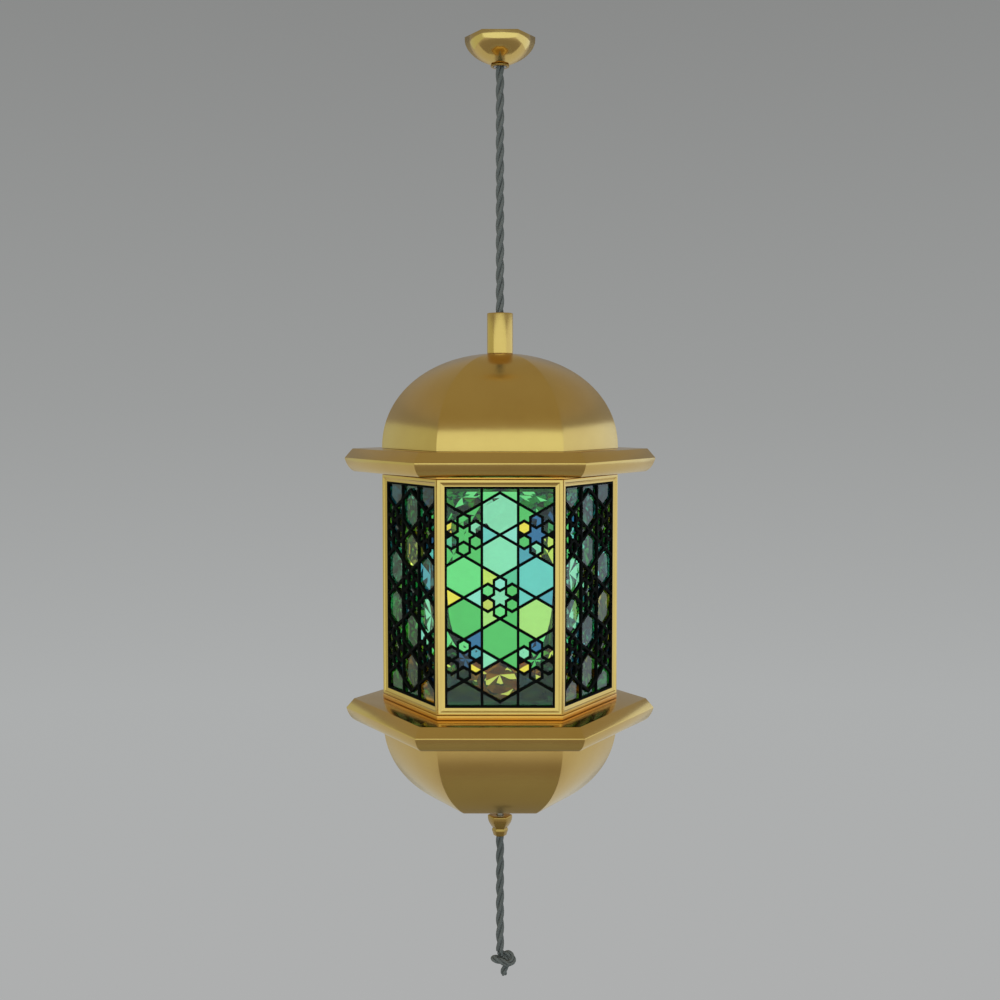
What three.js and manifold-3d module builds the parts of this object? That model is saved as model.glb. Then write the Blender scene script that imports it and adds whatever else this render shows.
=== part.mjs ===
// A six-sided stained glass pendant lantern: a ceiling cup, a twisted flex, a domed brass body
// with six leaded panels round an oval lamp, and a pull cord that works a switch in the bowl.
// Millimetres, +Z up. The origin is the centre of the plate that meets the ceiling, and the
// front panel faces -Y. Radii of six-sided pieces run to their corners.
import * as THREE from "three";
import { mergeVertices } from "three/addons/utils/BufferGeometryUtils.js";
import Module from "manifold-3d";

const wasm = await Module();
wasm.setup();

// Fits
const SEAT = 0.3; // clearance between pieces that rest on or fit round each other
const RUN = 0.5; // clearance round what slides or turns

// Ceiling cup
const CANOPY_RADIUS = 33.9;
const CANOPY_DEPTH = 27.5;
const CANOPY_ROUNDNESS = 1.85;
const CANOPY_SEAT_RADIUS = 9.5;
const PLATE_RADIUS = 27;
const PLATE_THICKNESS = 2;
const SLOT_PITCH = 19;
const SLOT_LENGTH = 8;
const SLOT_WIDTH = 4.4;
const POST_RADIUS = 6.5;
const CANOPY_NUT_RADIUS = 9;
const CANOPY_NUT_HEIGHT = 2;
const BLOCK_LENGTH = 17; // terminal block on the plate
const BLOCK_WIDTH = 8;
const BLOCK_HEIGHT = 9;
const BLOCK_WELL_RADIUS = 1.6;
const BLOCK_WELL_DEPTH = 3;
const BLOCK_PITCH = 5.4;

// Flex
const CORD_DIAMETER = 8.2;
const CORD_LENGTH = 234.7; // the free stretch between the ceiling cup and the cord tube
const CORD_TIP_RADIUS = 3.7; // rounded end that turns in the post's bore as the lantern swings

// Cord tube and what hangs from it
const TUBE_RADIUS = 13;
const TUBE_LENGTH = 39.1;
const TUBE_WALL = 1.8;
const TUBE_CAP = 3;
const TUBE_EDGE = 0.9; // softened top edge
const GRIP_LENGTH = 12;
const PIPE_RADIUS = 5;
const PIPE_BORE = 3.6;
const PIPE_BELOW_DOME = 82;
const NUT_ACROSS_FLATS = 16;
const NUT_HEIGHT = 4.5;
const WASHER_RADIUS = 14;
const WASHER_THICKNESS = 1.6;
const HOLDER_RADIUS = 20;
const HOLDER_LENGTH = 58;
const HOLDER_WALL = 3;
const HOLDER_FLOOR = 14; // thickness of its head, above the socket
const HOLDER_SHOULDER = 18; // height of its rounded shoulder
const PIPE_IN_HOLDER = 10;
const BULB_CAP_RADIUS = 13.2;
const BULB_CAP_LENGTH = 27;
const BULB_RADIUS = 54;
const BULB_HALF_HEIGHT = 92; // of the oval glass
const BULB_NECK_SHOWN = 4;
const BULB_NECK_STEP = 1.2; // glass neck's radius beyond the cap's

// Brass body
const BODY_RADIUS = 115.8;
const SHEET = 1; // wall of the pressed brass shells
const DOME_HEIGHT = 92.5; // from its rim to where its curve would close
const DOME_ROUNDNESS = 2.1; // exponent of the dome's and bowl's superellipse
const DOME_SEAT_RADIUS = 16;
const BOWL_FLAT_RADIUS = 69;
const BRIM_RADIUS = 152.6;
const BRIM_TOP_RADIUS = 144.6;
const BRIM_FOOT_RADIUS = 143;
const BRIM_INNER_RADIUS = 107;
const BRIM_HEIGHT = 22.5;
const BRIM_RIDGE_DROP = 11;

// Panels
const PANEL_HEIGHT = 217.2;
const UPPER_RING_HEIGHT = 2.3;
const LOWER_RING_HEIGHT = 4.4;
const RING_LIP = 12; // how far a ring's lip reaches behind the frames
const RING_LIP_WALL = 2.4;
const STILE_WIDTH = 7.3;
const RAIL_WIDTH = 6.6;
const FRAME_DEPTH = 4;
const CAME_WIDTH = 1.9;
const CAME_DEPTH = 1.9;
const CAME_RECESS = 2.1; // from the frame's face back to the lattice's face
const PANE_THICKNESS = 2;
const PANE_OVERLAP = 1.8; // how far a pane reaches behind its frame
const PATTERN_REACH = 5.25; // from the pattern's centre to its top, in sides of its large hexagons

// Switch, finial and pull cord
const SWITCH_RADIUS = 14;
const SWITCH_HEIGHT = 23;
const STEM_RADIUS = 3.3;
const STEM_DROP = 18.7; // from the bowl's flat bottom down to the finial
const STEM_BORE = 1.7;
const FINIAL_RADIUS = 12.2;
const FINIAL_HEIGHT = 20.7;
const FINIAL_PLATE = 4.2; // thickness of its top, where the stem screws in
const FINIAL_WAIST = 7.3;
const STEM_NUT_HEIGHT = 3;
const STEM_NUT_ACROSS_FLATS = 10;
const ROD_DEPTH = 7; // from the switch's top down to the rod's end
const PULL_TRAVEL = 9;
const PULL_ROD_RADIUS = 1.1;
const PULL_CORD_LENGTH = 128;
const KNOT_WIDTH = 27.8;
const KNOT_HEIGHT = 15;
const KNOT_THICKNESS = 15;
const TAIL_LENGTH = 9.5;

// Door at the back
const HINGE_BARREL_RADIUS = 2.4;
const HINGE_PIN_RADIUS = 1.2;
const HINGE_HEIGHT = 24;
const HINGE_INSET = 30; // from the panel's top or bottom to the middle of a hinge
const LEAF_THICKNESS = 1;
const LEAF_WIDTH = 7;
const KNOB_RADIUS = 4;
const KNOB_LENGTH = 9;
const MAGNET_LENGTH = 16;
const SWITCH_CABLE_DIAMETER = 4;

// Heights, from the ceiling down
const COS30 = Math.cos(Math.PI / 6);
const MITRE = Math.tan(Math.PI / 6);
const CORD_RADIUS = CORD_DIAMETER / 2;
const canopySeatZ = -CANOPY_DEPTH * rise(CANOPY_SEAT_RADIUS / CANOPY_RADIUS, CANOPY_ROUNDNESS);
const canopyNutTop = canopySeatZ - SEAT;
const canopyNutBottom = canopyNutTop - CANOPY_NUT_HEIGHT;
const cordTop = canopyNutBottom; // the lantern swings about this point
const cordBottom = cordTop - CORD_LENGTH;
const tubeTop = cordBottom - SEAT;
const tubeBottom = tubeTop - TUBE_LENGTH;
const domeTop = tubeBottom - SEAT;
const domeBase = domeTop - DOME_HEIGHT * rise(DOME_SEAT_RADIUS / BODY_RADIUS, DOME_ROUNDNESS);
const upperBrimTop = domeBase - SEAT;
const upperRingTop = upperBrimTop - BRIM_HEIGHT - SEAT;
const panelTop = upperRingTop - UPPER_RING_HEIGHT - SEAT;
const panelBottom = panelTop - PANEL_HEIGHT;
const panelMiddle = (panelTop + panelBottom) / 2;
const lowerRingTop = panelBottom - SEAT;
const lowerBrimTop = lowerRingTop - LOWER_RING_HEIGHT - SEAT;
const bowlTop = lowerBrimTop - BRIM_HEIGHT - SEAT;
const bowlBottom = bowlTop - DOME_HEIGHT * rise(BOWL_FLAT_RADIUS / BODY_RADIUS, DOME_ROUNDNESS);
const finialTop = bowlBottom - STEM_DROP;
const finialBottom = finialTop - FINIAL_HEIGHT;
const bodyFlat = BODY_RADIUS * COS30; // distance from the axis to a panel's face

// Height of a superellipse of unit radius and height at radius r.
function rise(r, exponent) {
  return (1 - r ** exponent) ** (1 / exponent);
}

// Materials
const BRASS = { color: 0xb08a3a, roughness: 0.28, metalness: 1 };
const BRIGHT_BRASS = { color: 0xc9a24b, roughness: 0.18, metalness: 1 };
const STEEL = { color: 0x9a9c9e, roughness: 0.35, metalness: 1 };
const LEAD = { color: 0x0c0d0d, roughness: 0.55, metalness: 0.6 };
const GREEN_GLASS = { color: 0x5fcf8c, roughness: 0.08, metalness: 0 };
const LAMP_GLASS = { color: 0xe9fff2, roughness: 0.2, metalness: 0 };
const TEXTILE = { color: 0x4c4e4d, roughness: 0.9, metalness: 0 };
const BAKELITE = { color: 0x1d1b1a, roughness: 0.4, metalness: 0 };
const WHITE_PLASTIC = { color: 0xe4e2da, roughness: 0.5, metalness: 0 };

// A point of a profile: radius and height.
function at(r, z) {
  return new THREE.Vector2(r, z);
}

// Turns a profile round the Z axis. Six sides put flats to the front and back.
function turned(profile, sides) {
  const start = sides === 6 ? Math.PI / 6 : 0;
  return new THREE.LatheGeometry(profile, sides, start).rotateX(Math.PI / 2);
}

// A closed profile, such as the section of a ring or a tube.
function ring(profile, sides) {
  return turned([...profile, profile[0]], sides);
}

// A tube or rod along Z between two heights.
function sleeve(outer, inner, top, bottom, sides) {
  return ring([at(inner, bottom), at(outer, bottom), at(outer, top), at(inner, top)], sides);
}

function rod(radius, top, bottom, sides) {
  return turned([at(0, bottom), at(radius, bottom), at(radius, top), at(0, top)], sides);
}

// Points of a superellipse from one radius to another, above or below its base.
function arch(radius, height, base, exponent, from, to, steps) {
  const points = [];
  const first = Math.acos(Math.min(1, from / radius));
  const last = Math.acos(Math.min(1, to / radius));
  for (let i = 0; i <= steps; i += 1) {
    const r = radius * Math.cos(first + ((last - first) * i) / steps);
    points.push(at(r, base + height * rise(Math.min(1, r / radius), exponent)));
  }
  return points;
}

// A flat outline pushed up by a height.
function prism(shape, bottom, height) {
  const g = new THREE.ExtrudeGeometry(shape, { depth: height, bevelEnabled: false, curveSegments: 5 });
  return g.translate(0, 0, bottom);
}

function polygon(points) {
  return new THREE.Shape(points.map(([x, y]) => new THREE.Vector2(x, y)));
}

function regular(sides, radius, turn = 0) {
  return Array.from({ length: sides }, (_, i) => {
    const a = turn + (2 * Math.PI * i) / sides;
    return [radius * Math.cos(a), radius * Math.sin(a)];
  });
}

function hexNut(acrossFlats, bore, bottom, height) {
  const shape = polygon(regular(6, acrossFlats / 2 / COS30));
  shape.holes.push(new THREE.Path().absarc(0, 0, bore, 0, 2 * Math.PI, true));
  return prism(shape, bottom, height);
}

// A round cord or cable through hand-picked points.
function cord(points, diameter, sides, steps) {
  const path = new THREE.CatmullRomCurve3(points.map((p) => new THREE.Vector3(...p)));
  const section = polygon(regular(sides, diameter / 2));
  return new THREE.ExtrudeGeometry(section, { steps, bevelEnabled: false, extrudePath: path });
}

function straightCord(top, bottom) {
  const steps = Math.ceil((top - bottom) / (2.5 * CORD_DIAMETER));
  return cord([[0, 0, top], [0, 0, (top + bottom) / 2], [0, 0, bottom]], CORD_DIAMETER, 8, steps);
}

// Joining and cutting
function toSolid(geometry) {
  const g = geometry.clone();
  g.deleteAttribute("normal");
  g.deleteAttribute("uv");
  const merged = mergeVertices(g, 1e-4);
  return new wasm.Manifold(
    new wasm.Mesh({
      numProp: 3,
      vertProperties: merged.attributes.position.array,
      triVerts: new Uint32Array(merged.index.array),
    }),
  );
}

function toGeometry(solid) {
  const mesh = solid.getMesh();
  const g = new THREE.BufferGeometry();
  g.setAttribute("position", new THREE.BufferAttribute(mesh.vertProperties, 3));
  g.setIndex(new THREE.BufferAttribute(mesh.triVerts, 1));
  return g;
}

function cut(base, ...tools) {
  return toGeometry(tools.reduce((s, t) => s.subtract(toSolid(t)), toSolid(base)));
}

function join(base, ...others) {
  return toGeometry(others.reduce((s, t) => s.add(toSolid(t)), toSolid(base)));
}

const lantern = new THREE.Group();

function add(name, geometry, material, turn = 0) {
  const mesh = new THREE.Mesh(geometry, new THREE.MeshStandardMaterial(material));
  mesh.name = name;
  mesh.rotation.z = turn;
  lantern.add(mesh);
  return mesh;
}

// Ceiling cup: a plate on the ceiling, a threaded post under it, and the cup held up by a ring nut
function ceilingPlate() {
  const plate = polygon(regular(16, PLATE_RADIUS));
  for (const side of [-1, 1]) {
    const slot = new THREE.Path();
    const reach = (SLOT_LENGTH - SLOT_WIDTH) / 2;
    const r = SLOT_WIDTH / 2;
    slot.absarc(side * SLOT_PITCH, -reach, r, 0, -Math.PI, true);
    slot.absarc(side * SLOT_PITCH, reach, r, Math.PI, 0, true);
    plate.holes.push(slot);
  }
  return prism(plate, -PLATE_THICKNESS, PLATE_THICKNESS);
}

function canopyShell() {
  const outer = arch(
    CANOPY_RADIUS,
    -CANOPY_DEPTH,
    0,
    CANOPY_ROUNDNESS,
    CANOPY_RADIUS,
    CANOPY_SEAT_RADIUS,
    8,
  );
  const wall = SHEET / COS30;
  const inner = arch(
    CANOPY_RADIUS - wall,
    -CANOPY_DEPTH + SHEET,
    0,
    CANOPY_ROUNDNESS,
    CANOPY_SEAT_RADIUS,
    CANOPY_RADIUS - wall,
    5,
  );
  const hole = (POST_RADIUS + SEAT) / COS30;
  return ring([...outer, at(hole, canopySeatZ), at(hole, inner[0].y), ...inner].reverse(), 6);
}

const postTop = -PLATE_THICKNESS - SEAT;
const postBore = CORD_RADIUS + SEAT;
add("ceiling_plate", ceilingPlate(), STEEL);
add("hanger_post", sleeve(POST_RADIUS, postBore, postTop, canopyNutBottom, 10), STEEL);
add("ceiling_canopy", canopyShell(), BRIGHT_BRASS);
add(
  "canopy_nut",
  sleeve(CANOPY_NUT_RADIUS, POST_RADIUS + SEAT, canopyNutTop, canopyNutBottom, 12),
  BRIGHT_BRASS,
);
add("cord_head", rod(CORD_RADIUS, postTop - SEAT, cordTop + CORD_TIP_RADIUS + SEAT, 8), TEXTILE);

function terminalBlock() {
  const y = PLATE_RADIUS - 2 - BLOCK_WIDTH;
  const block = new THREE.BoxGeometry(BLOCK_LENGTH, BLOCK_WIDTH, BLOCK_HEIGHT);
  const wells = [-1, 0, 1].map((i) =>
    rod(BLOCK_WELL_RADIUS, BLOCK_WELL_DEPTH, -BLOCK_WELL_DEPTH, 6)
      .translate(i * BLOCK_PITCH, y, postTop - BLOCK_HEIGHT),
  );
  return cut(block.translate(0, y, postTop - BLOCK_HEIGHT / 2), ...wells);
}
add("terminal_block", terminalBlock(), WHITE_PLASTIC);

// Flex: the free stretch, and its end inside the cord tube
function suspensionCord() {
  const steps = 3;
  const tip = [at(0, cordTop - SEAT), at(CORD_TIP_RADIUS, cordTop - SEAT)];
  for (let i = 0; i <= steps; i += 1) {
    const a = (i / steps) * (Math.PI / 2);
    tip.push(at(CORD_TIP_RADIUS * Math.cos(a), cordTop + CORD_TIP_RADIUS * Math.sin(a)));
  }
  return join(straightCord(cordTop, cordBottom), turned(tip, 8));
}
add("suspension_cord", suspensionCord(), TEXTILE);
const gripTop = tubeTop - TUBE_CAP - SEAT;
const gripBottom = gripTop - GRIP_LENGTH;
const tubeInner = TUBE_RADIUS - TUBE_WALL;
const tubeFloorTop = tubeBottom + TUBE_CAP;
const upperNutTop = tubeFloorTop + SEAT + NUT_HEIGHT;
add("cord_tail", rod(CORD_RADIUS, tubeTop, upperNutTop + 2 * SEAT, 8), TEXTILE);
add(
  "cord_grip",
  sleeve(tubeInner - SEAT, CORD_RADIUS + SEAT, gripTop, gripBottom, 12),
  WHITE_PLASTIC,
);

// Cord tube: capped above with a hole for the flex, and a floor that the threaded pipe clamps
function cordTube() {
  const hole = CORD_RADIUS + SEAT;
  const floorHole = PIPE_RADIUS + SEAT;
  return ring(
    [
      at(floorHole, tubeBottom),
      at(TUBE_RADIUS, tubeBottom),
      at(TUBE_RADIUS, tubeTop - TUBE_EDGE),
      at(TUBE_RADIUS - TUBE_EDGE, tubeTop),
      at(hole, tubeTop),
      at(hole, tubeTop - TUBE_CAP),
      at(tubeInner, tubeTop - TUBE_CAP),
      at(tubeInner, tubeFloorTop),
      at(floorHole, tubeFloorTop),
    ],
    14,
  );
}
add("cord_tube", cordTube(), BRIGHT_BRASS);

const pipeTop = upperNutTop;
const pipeBottom = domeTop - PIPE_BELOW_DOME;
const washerTop = domeTop - SHEET - SEAT;
const washerBottom = washerTop - WASHER_THICKNESS;
add("threaded_pipe", sleeve(PIPE_RADIUS, PIPE_BORE, pipeTop, pipeBottom, 10), STEEL);
add(
  "pipe_nut_upper",
  hexNut(NUT_ACROSS_FLATS, PIPE_RADIUS + SEAT, tubeFloorTop + SEAT, NUT_HEIGHT),
  STEEL,
);
add("dome_washer", sleeve(WASHER_RADIUS, PIPE_RADIUS + SEAT, washerTop, washerBottom, 12), STEEL);
add(
  "pipe_nut_lower",
  hexNut(NUT_ACROSS_FLATS, PIPE_RADIUS + SEAT, washerBottom - SEAT - NUT_HEIGHT, NUT_HEIGHT),
  STEEL,
);

// Lampholder and oval lamp
const holderTop = pipeBottom + PIPE_IN_HOLDER;
const holderBottom = holderTop - HOLDER_LENGTH;
const socketTop = holderTop - HOLDER_FLOOR;
function lampholder() {
  const hole = PIPE_RADIUS + SEAT;
  const neck = hole + HOLDER_WALL;
  const inner = HOLDER_RADIUS - HOLDER_WALL;
  const shoulder = [0, 1, 2, 3].map((i) => {
    const a = (i / 3) * (Math.PI / 2);
    return at(
      neck + (HOLDER_RADIUS - neck) * Math.cos(a),
      holderTop - HOLDER_SHOULDER * (1 - Math.sin(a)),
    );
  });
  return ring(
    [
      at(inner, holderBottom),
      at(HOLDER_RADIUS, holderBottom),
      ...shoulder,
      at(hole, holderTop),
      at(hole, socketTop),
      at(inner, socketTop),
    ],
    12,
  );
}
add("lampholder", lampholder(), BAKELITE);

const bulbCapTop = socketTop - SEAT;
const bulbCapBottom = bulbCapTop - BULB_CAP_LENGTH;
function bulbCap() {
  const contact = BULB_CAP_RADIUS / 3;
  return turned(
    [
      at(0, bulbCapBottom),
      at(BULB_CAP_RADIUS, bulbCapBottom),
      at(BULB_CAP_RADIUS, bulbCapTop - 6),
      at(contact, bulbCapTop - 1),
      at(contact, bulbCapTop),
      at(0, bulbCapTop),
    ],
    12,
  );
}
add("bulb_cap", bulbCap(), STEEL);

const neckTop = bulbCapBottom - SEAT;
const neckRadius = BULB_CAP_RADIUS + BULB_NECK_STEP;
const neckAngle = Math.asin(neckRadius / BULB_RADIUS); // where the oval meets the neck
const globeMiddle = holderBottom - BULB_NECK_SHOWN - BULB_HALF_HEIGHT * Math.cos(neckAngle);
function bulbGlobe() {
  const points = [at(0, globeMiddle - BULB_HALF_HEIGHT)];
  const steps = 10;
  for (let i = 1; i <= steps; i += 1) {
    const a = ((Math.PI - neckAngle) * i) / steps;
    points.push(at(BULB_RADIUS * Math.sin(a), globeMiddle - BULB_HALF_HEIGHT * Math.cos(a)));
  }
  points.push(at(neckRadius, neckTop), at(0, neckTop));
  return turned(points, 14);
}
add("bulb_globe", bulbGlobe(), LAMP_GLASS);

// Dome, with a flat seat under the cord tube
function domeShell() {
  const wall = SHEET / COS30;
  const outer = arch(
    BODY_RADIUS,
    DOME_HEIGHT,
    domeBase,
    DOME_ROUNDNESS,
    BODY_RADIUS,
    DOME_SEAT_RADIUS,
    10,
  );
  const inner = arch(
    BODY_RADIUS - wall,
    DOME_HEIGHT - SHEET,
    domeBase,
    DOME_ROUNDNESS,
    DOME_SEAT_RADIUS,
    BODY_RADIUS - wall,
    6,
  );
  const hole = (PIPE_RADIUS + SEAT) / COS30;
  return ring([...outer, at(hole, domeTop), at(hole, inner[0].y), ...inner], 6);
}
add("dome", domeShell(), BRASS);

// Brims: pressed mouldings, with a flat top, an edge that slopes out to a sharp ridge, a rounded
// underside, and a slot round the inside that leaves them hollow
function brim(top) {
  // The moulding's outline, or the same moved in by the thickness of its sheet.
  const outline = (sheet) => {
    const side = sheet / COS30;
    const ridge = at(BRIM_RADIUS - side, top - BRIM_RIDGE_DROP);
    const foot = at(BRIM_FOOT_RADIUS - side, top - BRIM_HEIGHT + sheet);
    const round = [0, 1, 2, 3, 4].map((i) => {
      const a = (i / 4) * (Math.PI / 2);
      return at(
        foot.x + (ridge.x - foot.x) * Math.cos(a),
        ridge.y - (ridge.y - foot.y) * Math.sin(a),
      );
    });
    return [
      at(BRIM_INNER_RADIUS, top - sheet),
      at(BRIM_TOP_RADIUS - side, top - sheet),
      ...round,
      at(BRIM_INNER_RADIUS, foot.y),
    ];
  };
  return ring([...outline(0), ...outline(SHEET).reverse()].reverse(), 6);
}
add("upper_brim", brim(upperBrimTop), BRASS);
add("lower_brim", brim(lowerBrimTop), BRASS);

// Rings that carry the frames, each a flat band with a lip behind the panels
const lipOuter = (bodyFlat - FRAME_DEPTH - PANE_THICKNESS - 2 * SEAT - RUN) / COS30;
const lipInner = lipOuter - RING_LIP_WALL;
function frameRing(bandTop, bandBottom, lipEnd) {
  const up = lipEnd > bandTop;
  const section = up
    ? [at(lipInner, bandBottom), at(BODY_RADIUS, bandBottom), at(BODY_RADIUS, bandTop)]
    : [at(BODY_RADIUS, bandBottom), at(BODY_RADIUS, bandTop), at(lipInner, bandTop)];
  const rest = up
    ? [at(lipOuter, bandTop), at(lipOuter, lipEnd), at(lipInner, lipEnd)]
    : [at(lipInner, lipEnd), at(lipOuter, lipEnd), at(lipOuter, bandBottom)];
  return ring([...section, ...rest], 6);
}
const upperRingBottom = upperRingTop - UPPER_RING_HEIGHT;
const lowerRingBottom = lowerRingTop - LOWER_RING_HEIGHT;
add("upper_ring", frameRing(upperRingTop, upperRingBottom, upperRingBottom - RING_LIP), BRASS);
add("lower_ring", frameRing(lowerRingTop, lowerRingBottom, lowerRingTop + RING_LIP), BRASS);

// Panel frames: one rectangular loop whose section steps in from a flat face to a thin inner edge
const faceHalfWidth = BODY_RADIUS / 2 - SEAT / 2 / COS30;
const openingHalfWidth = BODY_RADIUS / 2 - STILE_WIDTH;
const openingHalfHeight = PANEL_HEIGHT / 2 - RAIL_WIDTH;
function panelFrame() {
  // Share of the member's width, and depth behind the face.
  const section = [
    [0, 0.35],
    [0.05, 0],
    [0.42, 0],
    [0.52, 0.9],
    [0.84, 1.7],
    [1, 1.8],
    [1, FRAME_DEPTH],
    [0, FRAME_DEPTH],
  ];
  const corners = section.map(([share, depth]) => {
    const outside = share === 0 ? depth * MITRE : 0;
    const w = faceHalfWidth - share * (faceHalfWidth - openingHalfWidth) - outside;
    const h = PANEL_HEIGHT / 2 - share * RAIL_WIDTH;
    const y = -(bodyFlat - depth);
    return [
      [-w, y, panelMiddle - h],
      [w, y, panelMiddle - h],
      [w, y, panelMiddle + h],
      [-w, y, panelMiddle + h],
    ];
  });
  const position = corners.flat(2);
  const index = [];
  const n = section.length;
  for (let i = 0; i < n; i += 1) {
    const j = (i + 1) % n;
    for (let k = 0; k < 4; k += 1) {
      const l = (k + 1) % 4;
      index.push(4 * i + k, 4 * i + l, 4 * j + l, 4 * i + k, 4 * j + l, 4 * j + k);
    }
  }
  const g = new THREE.BufferGeometry();
  g.setAttribute("position", new THREE.Float32BufferAttribute(position, 3));
  g.setIndex(index);
  return g;
}

// Lead came lattice. The pattern is drawn in sides of its large hexagons, from the panel's centre,
// and then fitted to the frame's opening.
const HALF = 0.5;
const WIDE = COS30;
const COLUMN = 2 * COS30;

function hexagon(cx, cy, side) {
  return regular(6, side, Math.PI / 2).map(([x, y]) => [cx + x, cy + y]);
}

function mirrored(points, sx, sy) {
  const flipped = points.map(([x, y]) => [x * sx, y * sy]);
  return sx * sy < 0 ? flipped.reverse() : flipped;
}

function moved(points, dx, dy) {
  return points.map(([x, y]) => [x + dx, y + dy]);
}

const QUARTERS = [[1, 1], [-1, 1], [-1, -1], [1, -1]];

// A rosette: six small hexagons round a six-pointed star, and the four arrow-shaped panes outside.
function rosette(cx, cy) {
  const small = 1 / 3;
  const panes = regular(6, 2 * small, Math.PI / 6).map(([x, y]) => hexagon(cx + x, cy + y, small));
  const star = [];
  for (let i = 0; i < 6; i += 1) {
    const a = (i * Math.PI) / 3;
    star.push([2 * small * COS30 * Math.cos(a), 2 * small * COS30 * Math.sin(a)]);
    star.push([small * Math.cos(a + Math.PI / 6), small * Math.sin(a + Math.PI / 6)]);
  }
  panes.push(moved(star, cx, cy));
  const third = WIDE / 3;
  const arrow = [
    [0, 1],
    [third, 5 / 6],
    [third, HALF],
    [2 * third, 2 * small],
    [WIDE, HALF],
    [WIDE, 1.5],
  ];
  for (const [sx, sy] of QUARTERS) panes.push(moved(mirrored(arrow, sx, sy), cx, cy));
  return panes;
}

// Every pane of a panel, as the outline that the cames' middle lines draw.
function panelPanes(halfHeight) {
  const panes = [-4, -2, 2, 4].map((y) => hexagon(0, y, 1));
  panes.push(...rosette(0, 0));
  for (const [sx, sy] of QUARTERS) {
    panes.push(hexagon(COLUMN * sx, sy, 1), ...rosette(COLUMN * sx, 3 * sy));
    const corner = [
      [COLUMN, 4],
      [COLUMN + WIDE, 4.5],
      [COLUMN + WIDE, halfHeight],
      [WIDE, halfHeight],
      [WIDE, 4.5],
    ];
    const link = [[0, 3], [WIDE, 2.5], [WIDE, 3.5]];
    panes.push(mirrored(corner, sx, sy), mirrored(link, sx, sy));
  }
  for (const s of [-1, 1]) {
    const end = [
      [-WIDE, 4.5],
      [0, 5],
      [WIDE, 4.5],
      [WIDE, halfHeight],
      [-WIDE, halfHeight],
    ].reverse();
    const inner = [[COLUMN, 0], [WIDE, HALF], [WIDE, -HALF]];
    const outer = [[COLUMN, 0], [COLUMN + WIDE, -HALF], [COLUMN + WIDE, HALF]];
    panes.push(mirrored(end, 1, s), mirrored(inner, s, 1), mirrored(outer, s, 1));
  }
  return panes;
}

// Moves each side of an outline inwards by a distance, whichever way round it is drawn.
function inset(points, distance) {
  const n = points.length;
  const area = points.reduce((sum, [x, y], i) => {
    const [u, v] = points[(i + 1) % n];
    return sum + x * v - u * y;
  }, 0);
  const d = Math.sign(area) * distance;
  const sides = points.map(([x, y], i) => {
    const [u, v] = points[(i + 1) % n];
    const length = Math.hypot(u - x, v - y);
    const dx = (u - x) / length;
    const dy = (v - y) / length;
    return { x: x - dy * d, y: y + dx * d, dx, dy };
  });
  return sides.map((b, i) => {
    const a = sides[(i + n - 1) % n];
    const t = ((b.x - a.x) * b.dy - (b.y - a.y) * b.dx) / (a.dx * b.dy - a.dy * b.dx);
    return [a.x + t * a.dx, a.y + t * a.dy];
  });
}

function cameLattice() {
  const w = openingHalfWidth - SEAT;
  const h = openingHalfHeight - SEAT;
  const sheet = prism(polygon([[-w, -h], [w, -h], [w, h], [-w, h]]), 0, CAME_DEPTH);
  const across = (w - CAME_WIDTH / 4) / (COLUMN + WIDE);
  const up = (h - CAME_WIDTH / 4) / PATTERN_REACH;
  const holes = panelPanes(PATTERN_REACH).map((pane) => {
    const outline = pane.map(([x, y]) => [x * across, y * up]);
    return prism(polygon(inset(outline, CAME_WIDTH / 2)), -1, CAME_DEPTH + 2);
  });
  return cut(sheet, ...holes)
    .rotateX(Math.PI / 2)
    .translate(0, -(bodyFlat - CAME_RECESS - CAME_DEPTH), panelMiddle);
}

function glassPane() {
  const depth = FRAME_DEPTH + SEAT + PANE_THICKNESS / 2;
  return new THREE.BoxGeometry(
    2 * (openingHalfWidth + PANE_OVERLAP),
    PANE_THICKNESS,
    2 * (openingHalfHeight + PANE_OVERLAP),
  ).translate(0, -(bodyFlat - depth), panelMiddle);
}

const FACES = ["front", "front_right", "back_right", "back", "back_left", "front_left"];
const frameShape = panelFrame();
const latticeShape = cameLattice();
const paneShape = glassPane();
FACES.forEach((face, i) => {
  const turn = (i * Math.PI) / 3;
  add("frame_" + face, frameShape, BRASS, turn);
  add("lattice_" + face, latticeShape, LEAD, turn);
  add("pane_" + face, paneShape, GREEN_GLASS, turn);
});

// Bowl, the dome's shape turned down and closed by a flat bottom
function bowlShell() {
  const wall = SHEET / COS30;
  const outer = arch(
    BODY_RADIUS,
    -DOME_HEIGHT,
    bowlTop,
    DOME_ROUNDNESS,
    BODY_RADIUS,
    BOWL_FLAT_RADIUS,
    8,
  );
  const inner = arch(
    BODY_RADIUS - wall,
    -DOME_HEIGHT + SHEET,
    bowlTop,
    DOME_ROUNDNESS,
    BOWL_FLAT_RADIUS - wall / 2,
    BODY_RADIUS - wall,
    5,
  );
  const hole = (STEM_RADIUS + SEAT) / COS30;
  const floor = bowlBottom + SHEET;
  inner[0].y = floor;
  return ring([...outer, at(hole, bowlBottom), at(hole, floor), ...inner].reverse(), 6);
}
add("lower_bowl", bowlShell(), BRASS);

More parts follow.
